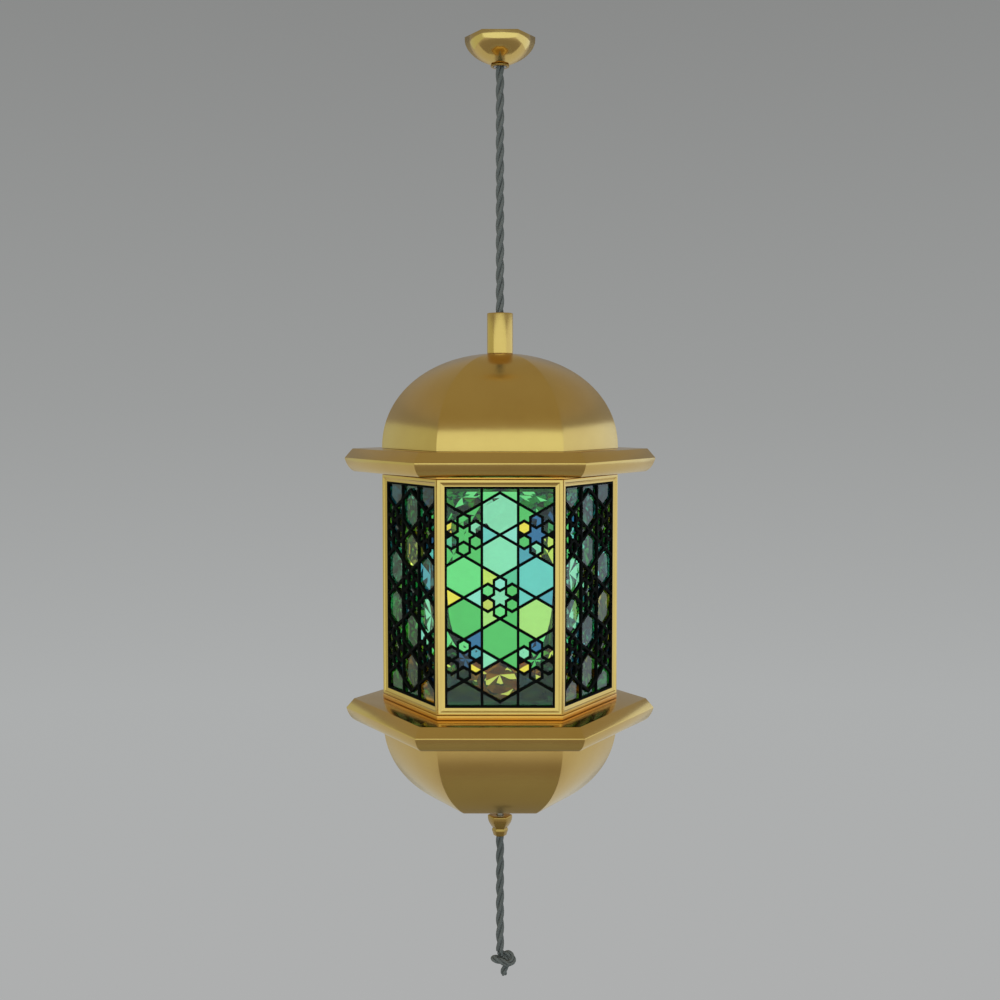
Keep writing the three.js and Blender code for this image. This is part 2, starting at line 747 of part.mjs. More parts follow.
// Pull switch on the bowl's floor, its threaded stem, and the finial screwed on below
const switchBottom = bowlBottom + SHEET + SEAT;
const switchTop = switchBottom + SWITCH_HEIGHT;
const rodTop = switchTop - ROD_DEPTH;
function pullSwitch() {
  const bore = PULL_ROD_RADIUS + RUN;
  return turned(
    [
      at(0, rodTop + 2),
      at(bore, rodTop + 2),
      at(bore, switchBottom),
      at(SWITCH_RADIUS, switchBottom),
      at(SWITCH_RADIUS, switchTop - 2),
      at(SWITCH_RADIUS - 2, switchTop),
      at(0, switchTop),
    ],
    12,
  );
}
const finialBore = (CORD_RADIUS + RUN) / COS30;
function finialBell() {
  const neck = (STEM_RADIUS + SEAT) / COS30;
  const lip = finialBore + 1.1;
  return ring(
    [
      at(neck, finialTop),
      at(FINIAL_RADIUS - 0.3, finialTop),
      at(FINIAL_RADIUS, finialTop - 1),
      at(FINIAL_RADIUS - 0.2, finialTop - 4.5),
      at(FINIAL_RADIUS - 1.6, finialTop - 8),
      at(FINIAL_WAIST + 1.2, finialTop - 11.6),
      at(FINIAL_WAIST, finialTop - 13.2),
      at(FINIAL_WAIST + 0.7, finialTop - 14.2),
      at(FINIAL_WAIST + 0.5, finialTop - 16.4),
      at(lip + 0.3, finialBottom + 1.2),
      at(lip, finialBottom),
      at(finialBore, finialBottom),
      at(finialBore, finialTop - FINIAL_PLATE),
      at(neck, finialTop - FINIAL_PLATE),
    ].reverse(),
    6,
  );
}
const stemNutTop = bowlBottom - SEAT;
add("pull_switch", pullSwitch(), BAKELITE);
add(
  "switch_stem",
  sleeve(STEM_RADIUS, STEM_BORE, switchBottom - SEAT, finialTop - FINIAL_PLATE, 10),
  STEEL,
);
add(
  "stem_nut",
  hexNut(STEM_NUT_ACROSS_FLATS, STEM_RADIUS + SEAT, stemNutTop - STEM_NUT_HEIGHT, STEM_NUT_HEIGHT),
  BRASS,
);
add("finial", finialBell(), BRASS);

// What moves when the cord is pulled: a rod with a ferrule, the pull cord and its knot
const ferruleTop = finialTop - FINIAL_PLATE - 2;
const ferruleBottom = finialBottom + PULL_TRAVEL + SEAT;
const pullCordTop = ferruleBottom - SEAT;
const pullCordBottom = pullCordTop - PULL_CORD_LENGTH;
function pullRod() {
  return turned(
    [
      at(0, ferruleBottom),
      at(CORD_RADIUS, ferruleBottom),
      at(CORD_RADIUS, ferruleTop - 1),
      at(PULL_ROD_RADIUS, ferruleTop),
      at(PULL_ROD_RADIUS, rodTop),
      at(0, rodTop),
    ],
    10,
  );
}
function pullKnot() {
  const middle = pullCordBottom - SEAT - KNOT_HEIGHT / 2;
  const lump = new THREE.SphereGeometry(1, 10, 7)
    .scale(KNOT_WIDTH / 2, KNOT_THICKNESS / 2, KNOT_HEIGHT / 2)
    .translate(KNOT_WIDTH / 7, 0, middle);
  const end = middle - KNOT_HEIGHT / 2 - TAIL_LENGTH;
  const tail = new THREE.CylinderGeometry(CORD_RADIUS, CORD_RADIUS, 1, 8)
    .rotateX(Math.PI / 2)
    .scale(1, 1, middle - end)
    .translate(CORD_RADIUS, 0, (middle + end) / 2);
  return join(lump, tail);
}
add("pull_rod", pullRod(), STEEL);
add(
  "pull_cord",
  straightCord(pullCordTop, pullCordBottom),
  TEXTILE,
);
add("pull_knot", pullKnot(), TEXTILE);

// Cable from the lampholder to the switch, down the inside of the back right corner
function switchCable() {
  const corner = lipInner - 2 * SWITCH_CABLE_DIAMETER;
  const r = SWITCH_CABLE_DIAMETER / 2;
  const plan = (d, z) => [d * Math.cos(Math.PI / 3), d * Math.sin(Math.PI / 3), z];
  return cord(
    [
      plan(HOLDER_RADIUS + SEAT + r / 4, holderTop - 22),
      plan(HOLDER_RADIUS + 14, holderTop - 22),
      plan(corner - 18, holderTop - 34),
      plan(corner, holderTop - 62),
      plan(corner, panelMiddle),
      plan(corner, lowerRingTop),
      plan(corner - 4, bowlTop),
      plan(corner - 34, switchTop - 2),
      plan(SWITCH_RADIUS + 18, switchTop - 8),
      plan(SWITCH_RADIUS + SEAT + r / 4, switchTop - 8),
    ],
    SWITCH_CABLE_DIAMETER,
    6,
    20,
  );
}
add("switch_cable", switchCable(), BAKELITE);

// Door: the back panel turns on two hinges at its left edge, has a knob at its right edge, and
// a magnet on the upper ring holds it shut
const hingeTurn = (2 * Math.PI) / 3;
const hingeReach = BODY_RADIUS + HINGE_BARREL_RADIUS + SEAT;

// One leaf, with the corner on +X. side is -1 for the door's leaf and 1 for the fixed one.
function hingeLeaf(middle, side) {
  const slant = (side * Math.PI) / 6;
  const corner = (-side * BODY_RADIUS) / 2;
  const face = bodyFlat + SEAT;
  const strip = (from, to, top, bottom) =>
    new THREE.BoxGeometry(LEAF_THICKNESS, to - from, top - bottom)
      .translate(face + LEAF_THICKNESS / 2, corner + (side * (from + to)) / 2, (top + bottom) / 2)
      .rotateZ(slant);
  const barrel = (top, bottom) =>
    sleeve(HINGE_BARREL_RADIUS, HINGE_PIN_RADIUS + SEAT, top, bottom, 6).translate(hingeReach, 0, 0);
  const top = middle + HINGE_HEIGHT / 2;
  const step = HINGE_HEIGHT / 3;
  const clear = HINGE_BARREL_RADIUS * 0.55; // keeps the two leaves' plates apart at the corner
  const spans =
    side > 0
      ? [
          [top, top - step + SEAT],
          [top - 2 * step - SEAT, top - 3 * step],
        ]
      : [[top - step, top - 2 * step]];
  const knuckles = spans.flatMap(([t, b]) => [barrel(t, b), strip(-SEAT / 3, clear + SEAT, t, b)]);
  return join(strip(clear, clear + LEAF_WIDTH, top, top - HINGE_HEIGHT), ...knuckles);
}

function hingePin(middle) {
  const top = middle + HINGE_HEIGHT / 2 + 0.6;
  const bottom = middle - HINGE_HEIGHT / 2;
  return turned(
    [
      at(0, bottom),
      at(HINGE_PIN_RADIUS, bottom),
      at(HINGE_PIN_RADIUS, top - SEAT),
      at(HINGE_BARREL_RADIUS, top - SEAT),
      at(HINGE_BARREL_RADIUS, top + 0.9),
      at(0, top + 0.9),
    ],
    8,
  ).translate(hingeReach, 0, 0);
}

for (const [where, middle] of [
  ["upper", panelTop - HINGE_INSET],
  ["lower", panelBottom + HINGE_INSET],
]) {
  add("hinge_" + where + "_fixed_leaf", hingeLeaf(middle, 1), BRASS, hingeTurn);
  add("hinge_" + where + "_door_leaf", hingeLeaf(middle, -1), BRASS, hingeTurn);
  add("hinge_" + where + "_pin", hingePin(middle), BRASS, hingeTurn);
}

function doorKnob() {
  return turned(
    [
      at(0, SEAT),
      at(KNOB_RADIUS * 0.75, SEAT),
      at(KNOB_RADIUS * 0.75, 1.2),
      at(KNOB_RADIUS * 0.45, 2),
      at(KNOB_RADIUS * 0.45, KNOB_LENGTH * 0.45),
      at(KNOB_RADIUS, KNOB_LENGTH * 0.65),
      at(KNOB_RADIUS, KNOB_LENGTH * 0.85),
      at(KNOB_RADIUS * 0.6, KNOB_LENGTH),
      at(0, KNOB_LENGTH),
    ],
    8,
  )
    .rotateX(Math.PI / 2)
    .translate(-(BODY_RADIUS - STILE_WIDTH) / 2, -bodyFlat, panelMiddle);
}
add("door_knob", doorKnob(), BRIGHT_BRASS, Math.PI);

function doorMagnet() {
  const front = bodyFlat - FRAME_DEPTH - SEAT;
  const back = lipOuter * COS30 + SEAT;
  const paneTop = panelMiddle + openingHalfHeight + PANE_OVERLAP;
  const top = upperRingBottom - SEAT;
  const bottom = paneTop + SEAT;
  return new THREE.BoxGeometry(MAGNET_LENGTH, front - back, top - bottom).translate(
    -BODY_RADIUS / 4,
    -(front + back) / 2,
    (top + bottom) / 2,
  );
}
add("door_magnet", doorMagnet(), STEEL, Math.PI);

export default lantern;
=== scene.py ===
"""Dresses a six-sided stained glass lantern that hangs on a twisted flex: pressed brass shells,
lead cames, cut glass, an oval lamp and a knotted pull cord. Metres, +Z up; the front panel faces -Y."""
import math
import random

import bmesh
import bpy
from bpy.props import FloatProperty, FloatVectorProperty, IntProperty, PointerProperty
from mathutils import Matrix, Vector


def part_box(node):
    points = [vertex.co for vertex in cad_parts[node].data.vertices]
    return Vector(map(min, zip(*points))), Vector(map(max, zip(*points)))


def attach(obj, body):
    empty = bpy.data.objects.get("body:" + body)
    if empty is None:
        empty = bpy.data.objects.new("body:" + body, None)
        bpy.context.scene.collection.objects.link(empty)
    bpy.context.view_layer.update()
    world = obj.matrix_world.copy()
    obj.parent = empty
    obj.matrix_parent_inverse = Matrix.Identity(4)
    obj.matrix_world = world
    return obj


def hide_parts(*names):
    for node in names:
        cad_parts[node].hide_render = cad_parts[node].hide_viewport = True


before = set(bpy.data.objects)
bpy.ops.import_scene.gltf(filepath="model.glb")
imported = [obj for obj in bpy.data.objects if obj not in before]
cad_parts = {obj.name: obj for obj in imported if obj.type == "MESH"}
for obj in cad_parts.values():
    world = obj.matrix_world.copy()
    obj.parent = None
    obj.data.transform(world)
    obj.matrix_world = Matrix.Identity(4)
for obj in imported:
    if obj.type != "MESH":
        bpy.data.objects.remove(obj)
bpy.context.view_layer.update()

bl_info = {
    "name": "Stained glass lantern",
    "version": (1, 0, 0),
    "blender": (4, 5, 0),
    "location": "View3D > Sidebar > Lantern",
    "description": "Builds the looks of a hanging six-sided stained glass lantern",
    "category": "Object",
}

MM = 0.001
FACES = ("front", "front_right", "back_right", "back", "back_left", "front_left")
PANEL_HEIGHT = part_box("frame_front")[1].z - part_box("frame_front")[0].z
PANEL_MIDDLE = (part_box("frame_front")[1].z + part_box("frame_front")[0].z) / 2
BODY_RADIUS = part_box("dome")[1].x
BODY_FLAT = BODY_RADIUS * math.cos(math.pi / 6)
HEXAGON_SIDE = 0.0193  # of the pattern's large hexagons
HALF_WIDTH = math.sqrt(3) / 2  # of a hexagon, in sides


def linear(red, green, blue):
    """A screen colour, from 0 to 255, as the linear colour that materials use."""
    return tuple(
        c / 12.92 if c <= 0.04045 else ((c + 0.055) / 1.055) ** 2.4
        for c in (red / 255, green / 255, blue / 255)
    )


# The glass, as screen colours
GLASS = {
    "aqua": linear(136, 227, 182),
    "pale_aqua": linear(140, 228, 205),
    "green": linear(84, 197, 102),
    "leaf": linear(108, 224, 132),
    "teal_green": linear(90, 196, 150),
    "teal": linear(104, 205, 194),
    "blue_teal": linear(78, 165, 180),
    "blue": linear(46, 112, 158),
    "deep_blue": linear(44, 88, 124),
    "deep_green": linear(62, 150, 84),
    "deep_teal": linear(70, 152, 118),
    "lime": linear(170, 228, 122),
    "yellow_green": linear(196, 226, 96),
    "yellow": linear(240, 226, 70),
    "olive": linear(198, 214, 94),
}

# The front panel's glass. A rosette reads star; top, upper left, upper right, lower left, lower
# right and bottom hexagon; upper left, upper right, lower left and lower right arrow. Hexagons go by
# their middles, in half widths across and in sides up from the panel's middle.
ROSETTES = {
    (-1, 1): "green green yellow aqua teal_green green green green green green green",
    (1, 1): "blue blue yellow deep_green green yellow_green aqua green deep_blue blue_teal yellow_green",
    (0, 0): "aqua pale_aqua leaf green olive green leaf yellow_green teal_green lime green",
    (-1, -1): "deep_blue leaf deep_green blue_teal yellow_green yellow deep_green leaf blue teal olive",
    (1, -1): "green blue aqua yellow_green yellow deep_green olive green leaf blue_teal deep_green",
}
HEXAGONS = {
    (0, 4): "aqua", (0, 2): "aqua", (0, -2): "green", (0, -4): "olive",
    (-2, 1): "leaf", (-2, -1): "green", (2, 1): "teal", (2, -1): "lime",
}
SIDE_GLASS = (
    "aqua pale_aqua green leaf teal_green teal blue_teal blue deep_blue deep_green "
    "lime yellow_green yellow olive green aqua teal leaf"
).split()
SIDE_HEXAGONS = {
    "front_right": {
        (-2, 1): "aqua", (-2, -1): "aqua", (0, 4): "teal", (0, 2): "teal_green", (0, -2): "teal",
        (2, 1): "teal", (2, -1): "yellow",
    },
    "front_left": {
        (2, 1): "blue_teal", (2, -1): "aqua", (0, 4): "teal_green", (0, 2): "yellow_green",
        (0, -2): "green", (-2, 1): "teal_green",
    },
}

# The camera's place and how many degrees it looks down, as fitted to the photograph
CAMERA = (0, -1.361, -0.354)
PITCH = 3.85

# The studio: its floor's height, greys by the height of a direction, and walls of light as name,
# corner, width, height and colour
FLOOR = -1.5
GREYS = (
    (-1.0, (0.22, 0.21, 0.19)),
    (-0.62, (0.25, 0.24, 0.22)),
    (-0.42, (0.425, 0.43, 0.43)),
    (-0.2, (0.415, 0.425, 0.425)),
    (0.0, (0.33, 0.337, 0.335)),
    (0.276, (0.253, 0.257, 0.254)),
    (0.35, (0.315, 0.305, 0.28)),
    (0.5, (0.33, 0.305, 0.225)),
    (0.62, (0.31, 0.286, 0.195)),
    (1.0, (0.33, 0.31, 0.235)),
)
WALLS = (
    ("wall_of_light_front", (-2.7, -1.7, -1.12), (5.4, 0, 0), (0, 0, 1.42), (0.87, 1.06, 1.07)),
    ("wall_of_light_right", (2.7, -1.7, -1.45), (0, 5.3, 0), (0, 0, 1.75), (0.76, 0.90, 0.99)),
    ("wall_of_light_left", (-2.7, 3.6, -1.45), (0, -5.3, 0), (0, 0, 1.75), (0.50, 0.58, 0.46)),
    ("low_light_right", (0.25, 0.5, -1.48), (2.4, 0, 0), (0, 3.4, 0), (0.54, 0.58, 0.57)),
    ("low_light_left", (-2.65, 0.5, -1.48), (2.4, 0, 0), (0, 3.4, 0), (0.48, 0.51, 0.48)),
)


def length(name, description, default):
    return FloatProperty(name=name, description=description, default=default, unit="LENGTH")


def number(name, description, default):
    return FloatProperty(name=name, description=description, default=default)


def colour(name, description, default):
    return FloatVectorProperty(name=name, description=description, default=default, subtype="COLOR")


class LanternSizes(bpy.types.PropertyGroup):
    """Sizes that change the lantern's looks."""

    sheet: length("Sheet", "Thickness of the pressed brass", 0.001)
    roundness: number("Roundness", "Exponent of the dome's and bowl's curve", 2.1)
    dome_seat: length("Dome seat", "Corner radius of the dome's flat top", 0.016)
    bowl_flat: length("Bowl flat", "Corner radius of the bowl's flat bottom", 0.069)
    cup_roundness: number("Cup roundness", "Exponent of the ceiling cup's curve", 1.85)
    cup_rim: length("Cup rim", "Height of the ceiling cup's upright rim", 0.0028)
    cup_seat: length("Cup seat", "Corner radius of the ceiling cup's flat", 0.0095)
    curve_steps: IntProperty(name="Curve steps", description="Rings along a pressed curve", default=26, min=4)
    gore_edge: length("Gore edge", "Rounding of the edges between gores", 0.0007)
    came_swell: length("Came swell", "How far solder and patina thicken the cames", 0.0003)
    came_edge: length("Came edge", "Rounding of the lead cames", 0.0002)
    glass_front: length("Glass front", "Depth of the glass behind a panel's face", 0.0045)
    glass_tuck: length("Glass tuck", "How far a pane reaches into its came", 0.0003)
    facet: length("Facet", "Unevenness of the chipped back of the glass", 0.0006)
    gem: length("Gem", "Rise of the large hexagons' backs to their middles", 0.0050)
    lamp_roundness: number("Lamp roundness", "Exponent of the lamp's oval; 2 is an ellipse", 2.35)
    rope: length("Rope", "Diameter of the twisted flex", 0.0082)
    lay: length("Lay", "Length of one turn of the flex's strands", 0.048)
    knot_rope: length("Knot rope", "Diameter of the flex pulled tight in the knot", 0.0068)
    lead: length("Lead", "Diameter of the switch's lead", 0.004)


class LanternColours(bpy.types.PropertyGroup):
    """Colours of the lantern's finishes."""

    brass: colour("Brass", "Satin brass of the body", (0.78, 0.51, 0.155))
    bright_brass: colour("Bright brass", "Polished brass of the fittings", (0.82, 0.56, 0.19))
    tarnish: colour("Tarnish", "Darker brass where it has aged", (0.66, 0.40, 0.11))
    aged_brass: colour("Aged brass", "Darker brass of the finial", (0.50, 0.31, 0.085))
    # the frame rings' brass is redder than the body's: a painted reflection of brass in brass
    brass_painted_reflection: colour("Ring brass with painted reflection", "Brass of the frame rings, redder by a painted reflection of brass in brass", (0.84, 0.41, 0.075))
    came: colour("Came", "Blackened lead", (0.0022, 0.0026, 0.0024))
    steel: colour("Steel", "Plated steel of the hidden fittings", (0.52, 0.53, 0.54))
    flex: colour("Flex", "Yarn of the twisted flex", (0.21, 0.216, 0.213))
    lamp: colour("Lamp", "Light of the oval lamp", (1.0, 1.0, 0.98))
    plastic: colour("Plastic", "Moulded black plastic", (0.018, 0.017, 0.016))
    white: colour("White plastic", "Moulded white plastic", (0.70, 0.68, 0.63))
    floor: colour("Floor", "Pale studio floor", (0.42, 0.415, 0.405))


def sizes():
    return bpy.context.scene.lantern_sizes


def colours():
    return bpy.context.scene.lantern_colours


# Modelling by hand


def deselect():
    if bpy.context.object is not None and bpy.context.object.mode != "OBJECT":
        bpy.ops.object.mode_set(mode="OBJECT")
    bpy.ops.object.select_all(action="DESELECT")


def take(piece):
    """Selects one piece alone and makes it active."""
    deselect()
    piece.select_set(True)
    bpy.context.view_layer.objects.active = piece
    return piece


def edit(piece, mode="VERT"):
    take(piece)
    bpy.ops.object.mode_set(mode="EDIT")
    bpy.ops.mesh.select_mode(type=mode)
    bpy.ops.mesh.select_all(action="SELECT")


def leave():
    bpy.ops.object.mode_set(mode="OBJECT")


def settle(piece):
    """Puts a piece's place into its mesh."""
    take(piece)
    bpy.ops.object.transform_apply(location=True, rotation=True, scale=True)
    return piece


def named(name):
    piece = bpy.context.object
    piece.name = name
    piece.data.name = name
    return piece


def applied(piece, kind, **settings):
    take(piece)
    modifier = piece.modifiers.new(kind.title(), kind)
    for key, value in settings.items():
        setattr(modifier, key, value)
    bpy.ops.object.modifier_apply(modifier=modifier.name)
    return piece


def smooth(piece, angle=30):
    take(piece)
    bpy.ops.object.shade_smooth_by_angle(angle=math.radians(angle))
    return piece


def rounded(piece, width, segments=2, angle=35):
    return applied(
        piece, "BEVEL", width=width, segments=segments, limit_method="ANGLE",
        angle_limit=math.radians(angle), use_clamp_overlap=True, miter_outer="MITER_SHARP",
    )


def drawn(name, profile, sides):
    """Draws a ring on through a profile of radii and heights; one of six sides has a flat to the front."""
    deselect()
    radius, height = profile[0]
    bpy.ops.mesh.primitive_circle_add(
        vertices=sides, radius=radius, fill_type="NOTHING", location=(0, 0, height),
        rotation=(0, 0, math.radians(30) if sides == 6 else 0),
    )
    piece = settle(named(name))
    edit(piece)
    for r, z in profile[1:]:
        bpy.ops.mesh.extrude_region_move(TRANSFORM_OT_translate={"value": (0, 0, z - height)})
        if abs(r - radius) > 1e-9:
            k = r / radius
            bpy.ops.transform.resize(value=(k, k, 1), center_override=(0, 0, z))
        radius, height = r, z
    bpy.ops.mesh.select_all(action="SELECT")
    bpy.ops.mesh.remove_doubles(threshold=1e-6)
    bpy.ops.mesh.normals_make_consistent(inside=False)
    leave()
    return piece


def rise(share, exponent):
    return max(0.0, 1 - share**exponent) ** (1 / exponent)


def curve(radius, height, base, exponent, start, end, steps):
    """Points of a pressed curve, from one radius in to another."""
    first, last = (math.acos(min(1, r / radius)) for r in (start, end))
    points = []
    for i in range(steps + 1):
        r = radius * math.cos(first + (last - first) * i / steps)
        points.append((r, base + height * rise(min(1, r / radius), exponent)))
    return points


def added(name, data):
    """A new object in the scene; its data takes its name."""
    data.name = name
    piece = bpy.data.objects.new(name, data)
    bpy.context.scene.collection.objects.link(piece)
    return piece


def copy_of(node, name):
    """A piece worked up from a CAD node's shape, merged and freed of the edges on its flats."""
    piece = added(name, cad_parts[node].data.copy())
    edit(piece)
    bpy.ops.mesh.remove_doubles(threshold=1e-6)
    bpy.ops.mesh.dissolve_limited(angle_limit=math.radians(0.5))
    leave()
    return piece


def turned_copy(piece, name, turn):
    """The same piece on another face of the lantern, with its own mesh."""
    other = added(name, piece.data.copy())
    other.data.transform(Matrix.Rotation(turn, 4, "Z"))
    return other


def choose(piece, test, kind="FACE"):
    """Selects, in edit mode, the faces or vertices that pass a test."""
    bpy.ops.mesh.select_mode(type=kind)
    bpy.ops.mesh.select_all(action="DESELECT")
    mesh = bmesh.from_edit_mesh(piece.data)
    for item in mesh.faces if kind == "FACE" else mesh.verts:
        if test(item):
            item.select_set(True)
    mesh.select_flush_mode()
    bmesh.update_edit_mesh(piece.data)


def choose_open_edges():
    """Selects, in edit mode, the edges round a mesh's holes."""
    bpy.ops.mesh.select_all(action="DESELECT")
    bpy.ops.mesh.select_non_manifold(
        extend=False, use_wire=False, use_boundary=True, use_multi_face=False,
        use_non_contiguous=False, use_verts=False,
    )


def closed(piece):
    """Fills the open ends of a turned piece."""
    edit(piece, "EDGE")
    choose_open_edges()
    bpy.ops.mesh.edge_face_add()
    bpy.ops.mesh.select_all(action="SELECT")
    bpy.ops.mesh.normals_make_consistent(inside=False)
    leave()
    return piece


def dressed(piece, body, material, slot, *nodes):
    """Gives a finished piece its material and body, and hides the CAD nodes that it stands for; the slot is
    not used.
    """
    piece.data.materials.clear()
    piece.data.materials.append(material)
    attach(piece, body)
    if nodes:
        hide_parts(*nodes)
    return piece


def body_of_face(face):
    return "door" if face == "back" else "lantern"


def on_every_face(first, name, material, slot, node):
    """Repeats the front's piece on the other faces and dresses all six."""
    for i, face in enumerate(FACES):
        piece = first if i == 0 else turned_copy(first, name + face, i * math.pi / 3)
        dressed(piece, body_of_face(face), material, slot, node + face)


# Finishes


class Nodes:
    """Adds and links a material's nodes."""

    def __init__(self, name):
        self.material = bpy.data.materials.new(name)
        self.material.use_nodes = True
        self.tree = self.material.node_tree
        self.shader = self.tree.nodes["Principled BSDF"]

    def node(self, kind, **settings):
        n = self.tree.nodes.new("ShaderNode" + kind)
        for key, value in settings.items():
            setattr(n, key, value)
        return n

    def link(self, source, target):
        self.tree.links.new(source, target)

    def feed(self, source, socket):
        self.link(source, self.shader.inputs[socket])

    def set(self, **values):
        for key, value in values.items():
            self.shader.inputs[key.replace("_", " ")].default_value = value

    def noise(self, size, detail=3.0, rough=0.5, stretch=(1, 1, 1)):
        mapping = self.node("Mapping")
        mapping.inputs["Scale"].default_value = stretch
        self.link(self.node("TexCoord").outputs["Object"], mapping.inputs["Vector"])
        n = self.node("TexNoise")
        n.inputs["Scale"].default_value = size
        n.inputs["Detail"].default_value = detail
        n.inputs["Roughness"].default_value = rough
        self.link(mapping.outputs["Vector"], n.inputs["Vector"])
        return n.outputs["Fac"]

    def between(self, value, low, high, start=0.0, end=1.0):
        n = self.node("MapRange")
        n.inputs["From Min"].default_value = start
        n.inputs["From Max"].default_value = end
        n.inputs["To Min"].default_value = low
        n.inputs["To Max"].default_value = high
        self.link(value, n.inputs["Value"])
        return n.outputs["Result"]

    def blend(self, value, first, second):
        n = self.node("Mix", data_type="RGBA")
        self.link(value, n.inputs["Factor"])
        for socket in n.inputs:
            if socket.type == "RGBA":
                socket.default_value = (*(first if socket.name == "A" else second), 1)
        return next(s for s in n.outputs if s.type == "RGBA")

    def bump(self, value, distance, strength=1.0, normal=None):
        n = self.node("Bump")
        n.inputs["Strength"].default_value = strength
        n.inputs["Distance"].default_value = distance
        self.link(value, n.inputs["Height"])
        if normal is not None:
            self.link(normal, n.inputs["Normal"])
        return n.outputs["Normal"]

    def mottled(self, size, detail, first, second):
        """Lets two colours cloud over into each other."""
        self.feed(self.blend(self.noise(size, detail), first, second), "Base Color")

    def rough(self, size, detail, low, high):
        """Lets the roughness wander between two values."""
        self.feed(self.between(self.noise(size, detail), low, high), "Roughness")


def finish_brass(name, base, aged, roughness, brushing):
    """Brass with clouds of older colour, brushed grain and faint dents."""
    m = Nodes(name)
    m.set(Metallic=1.0)
    clouds = m.between(m.noise(14, 4, 0.6), 0, 0.45, 0.42, 0.78)
    m.feed(m.blend(clouds, base, aged), "Base Color")
    grain = m.noise(3.2, 3, 0.6, stretch=(14, 14, 260))
    m.feed(m.between(grain, roughness - 0.04, roughness + 0.05), "Roughness")
    dents = m.bump(m.noise(34, 2), 0.00012, 0.35)
    m.feed(m.bump(grain, 0.00003, brushing, dents), "Normal")
    return m.material


def finish_came():
    m = Nodes("blackened_lead")
    m.set(Specular_IOR_Level=0.05)
    m.mottled(120, 4, colours().came, (0.005, 0.0056, 0.0052))
    m.rough(260, 3, 0.65, 0.9)
    m.feed(m.bump(m.noise(420, 3), 0.00012, 0.5), "Normal")
    return m.material


def finish_glass():
    """Cut glass that takes its tint from each pane's own colour."""
    m = Nodes("tinted_glass")
    m.set(IOR=1.52, Transmission_Weight=1.0)
    tint = m.node("Attribute", attribute_name="tint")
    streak = m.between(m.noise(4, 3, stretch=(30, 30, 60)), 0.94, 1.03)
    shade = m.node("VectorMath", operation="SCALE")
    m.link(tint.outputs["Color"], shade.inputs["Vector"])
    m.link(streak, shade.inputs["Scale"])
    m.feed(shade.outputs["Vector"], "Base Color")
    m.rough(90, 2, 0.0, 0.03)
    m.feed(m.bump(m.noise(150, 2), 0.00008, 0.12), "Normal")
    return m.material


def finish_lamp():
    m = Nodes("lit_opal_glass")
    m.set(Roughness=0.25, Emission_Color=(*colours().lamp, 1))
    m.mottled(30, 2, (0.42, 0.43, 0.42), (0.46, 0.47, 0.46))
    m.feed(m.between(m.noise(12, 2), 0.84, 0.90), "Emission Strength")
    return m.material


def finish_steel():
    m = Nodes("zinc_plate")
    m.set(Metallic=1.0)
    m.mottled(60, 4, colours().steel, (0.40, 0.41, 0.42))
    m.rough(180, 3, 0.24, 0.42)
    m.feed(m.bump(m.noise(90, 2, stretch=(1, 1, 20)), 0.00004, 0.5), "Normal")
    return m.material


def finish_plastic(name, base, roughness):
    m = Nodes(name)
    m.mottled(50, 3, base, tuple(c * 0.8 for c in base))
    m.rough(200, 3, roughness - 0.06, roughness + 0.1)
    m.feed(m.bump(m.noise(900, 2), 0.00003, 0.6), "Normal")
    return m.material


def finish_flex():
    """Yarn laid slantwise round each strand, from the strand's own unwrapping in metres."""
    m = Nodes("flex_yarn")
    unwrapped = m.node("UVMap", uv_map="strand")
    slant = m.node("Mapping")
    slant.inputs["Rotation"].default_value = (0, 0, math.radians(34))
    m.link(unwrapped.outputs["UV"], slant.inputs["Vector"])
    yarn = m.node("TexWave", wave_type="BANDS", bands_direction="X", wave_profile="SIN")
    yarn.inputs["Scale"].default_value = 260
    yarn.inputs["Distortion"].default_value = 1.6
    yarn.inputs["Detail"].default_value = 2
    yarn.inputs["Detail Scale"].default_value = 3
    m.link(slant.outputs["Vector"], yarn.inputs["Vector"])
    fuzz = m.between(m.noise(500, 4), 0.6, 1.3)
    shade = m.node("Math", operation="MULTIPLY")
    m.link(yarn.outputs["Fac"], shade.inputs[0])
    m.link(fuzz, shade.inputs[1])
    pale = colours().flex
    m.feed(m.blend(shade.outputs["Value"], tuple(c * 0.6 for c in pale), pale), "Base Color")
    m.set(Roughness=0.9, Specular_IOR_Level=0.08)
    m.feed(m.bump(shade.outputs["Value"], 0.0003, 0.7), "Normal")
    return m.material


def finish(name):
    """A finish by name, made when first asked for."""
    if name in bpy.data.materials:
        return bpy.data.materials[name]
    c = colours()
    brasses = {
        "satin_brass": (c.brass, c.tarnish, 0.19, 0.35),
        "polished_brass": (c.bright_brass, c.brass, 0.14, 0.2),
        "aged_brass": (c.aged_brass, [x * 0.7 for x in c.aged_brass], 0.26, 0.4),
        "brass_painted_reflection": (c.brass_painted_reflection, c.tarnish, 0.22, 0.35),
    }
    plastics = {"moulded_black": (c.plastic, 0.4), "moulded_white": (c.white, 0.45)}
    others = {
        "blackened_lead": finish_came,
        "tinted_glass": finish_glass,
        "lit_opal_glass": finish_lamp,
        "zinc_plate": finish_steel,
        "flex_yarn": finish_flex,
    }
    if name in brasses:
        return finish_brass(name, *brasses[name])
    if name in plastics:
        return finish_plastic(name, *plastics[name])
    return others[name]()


# Cords


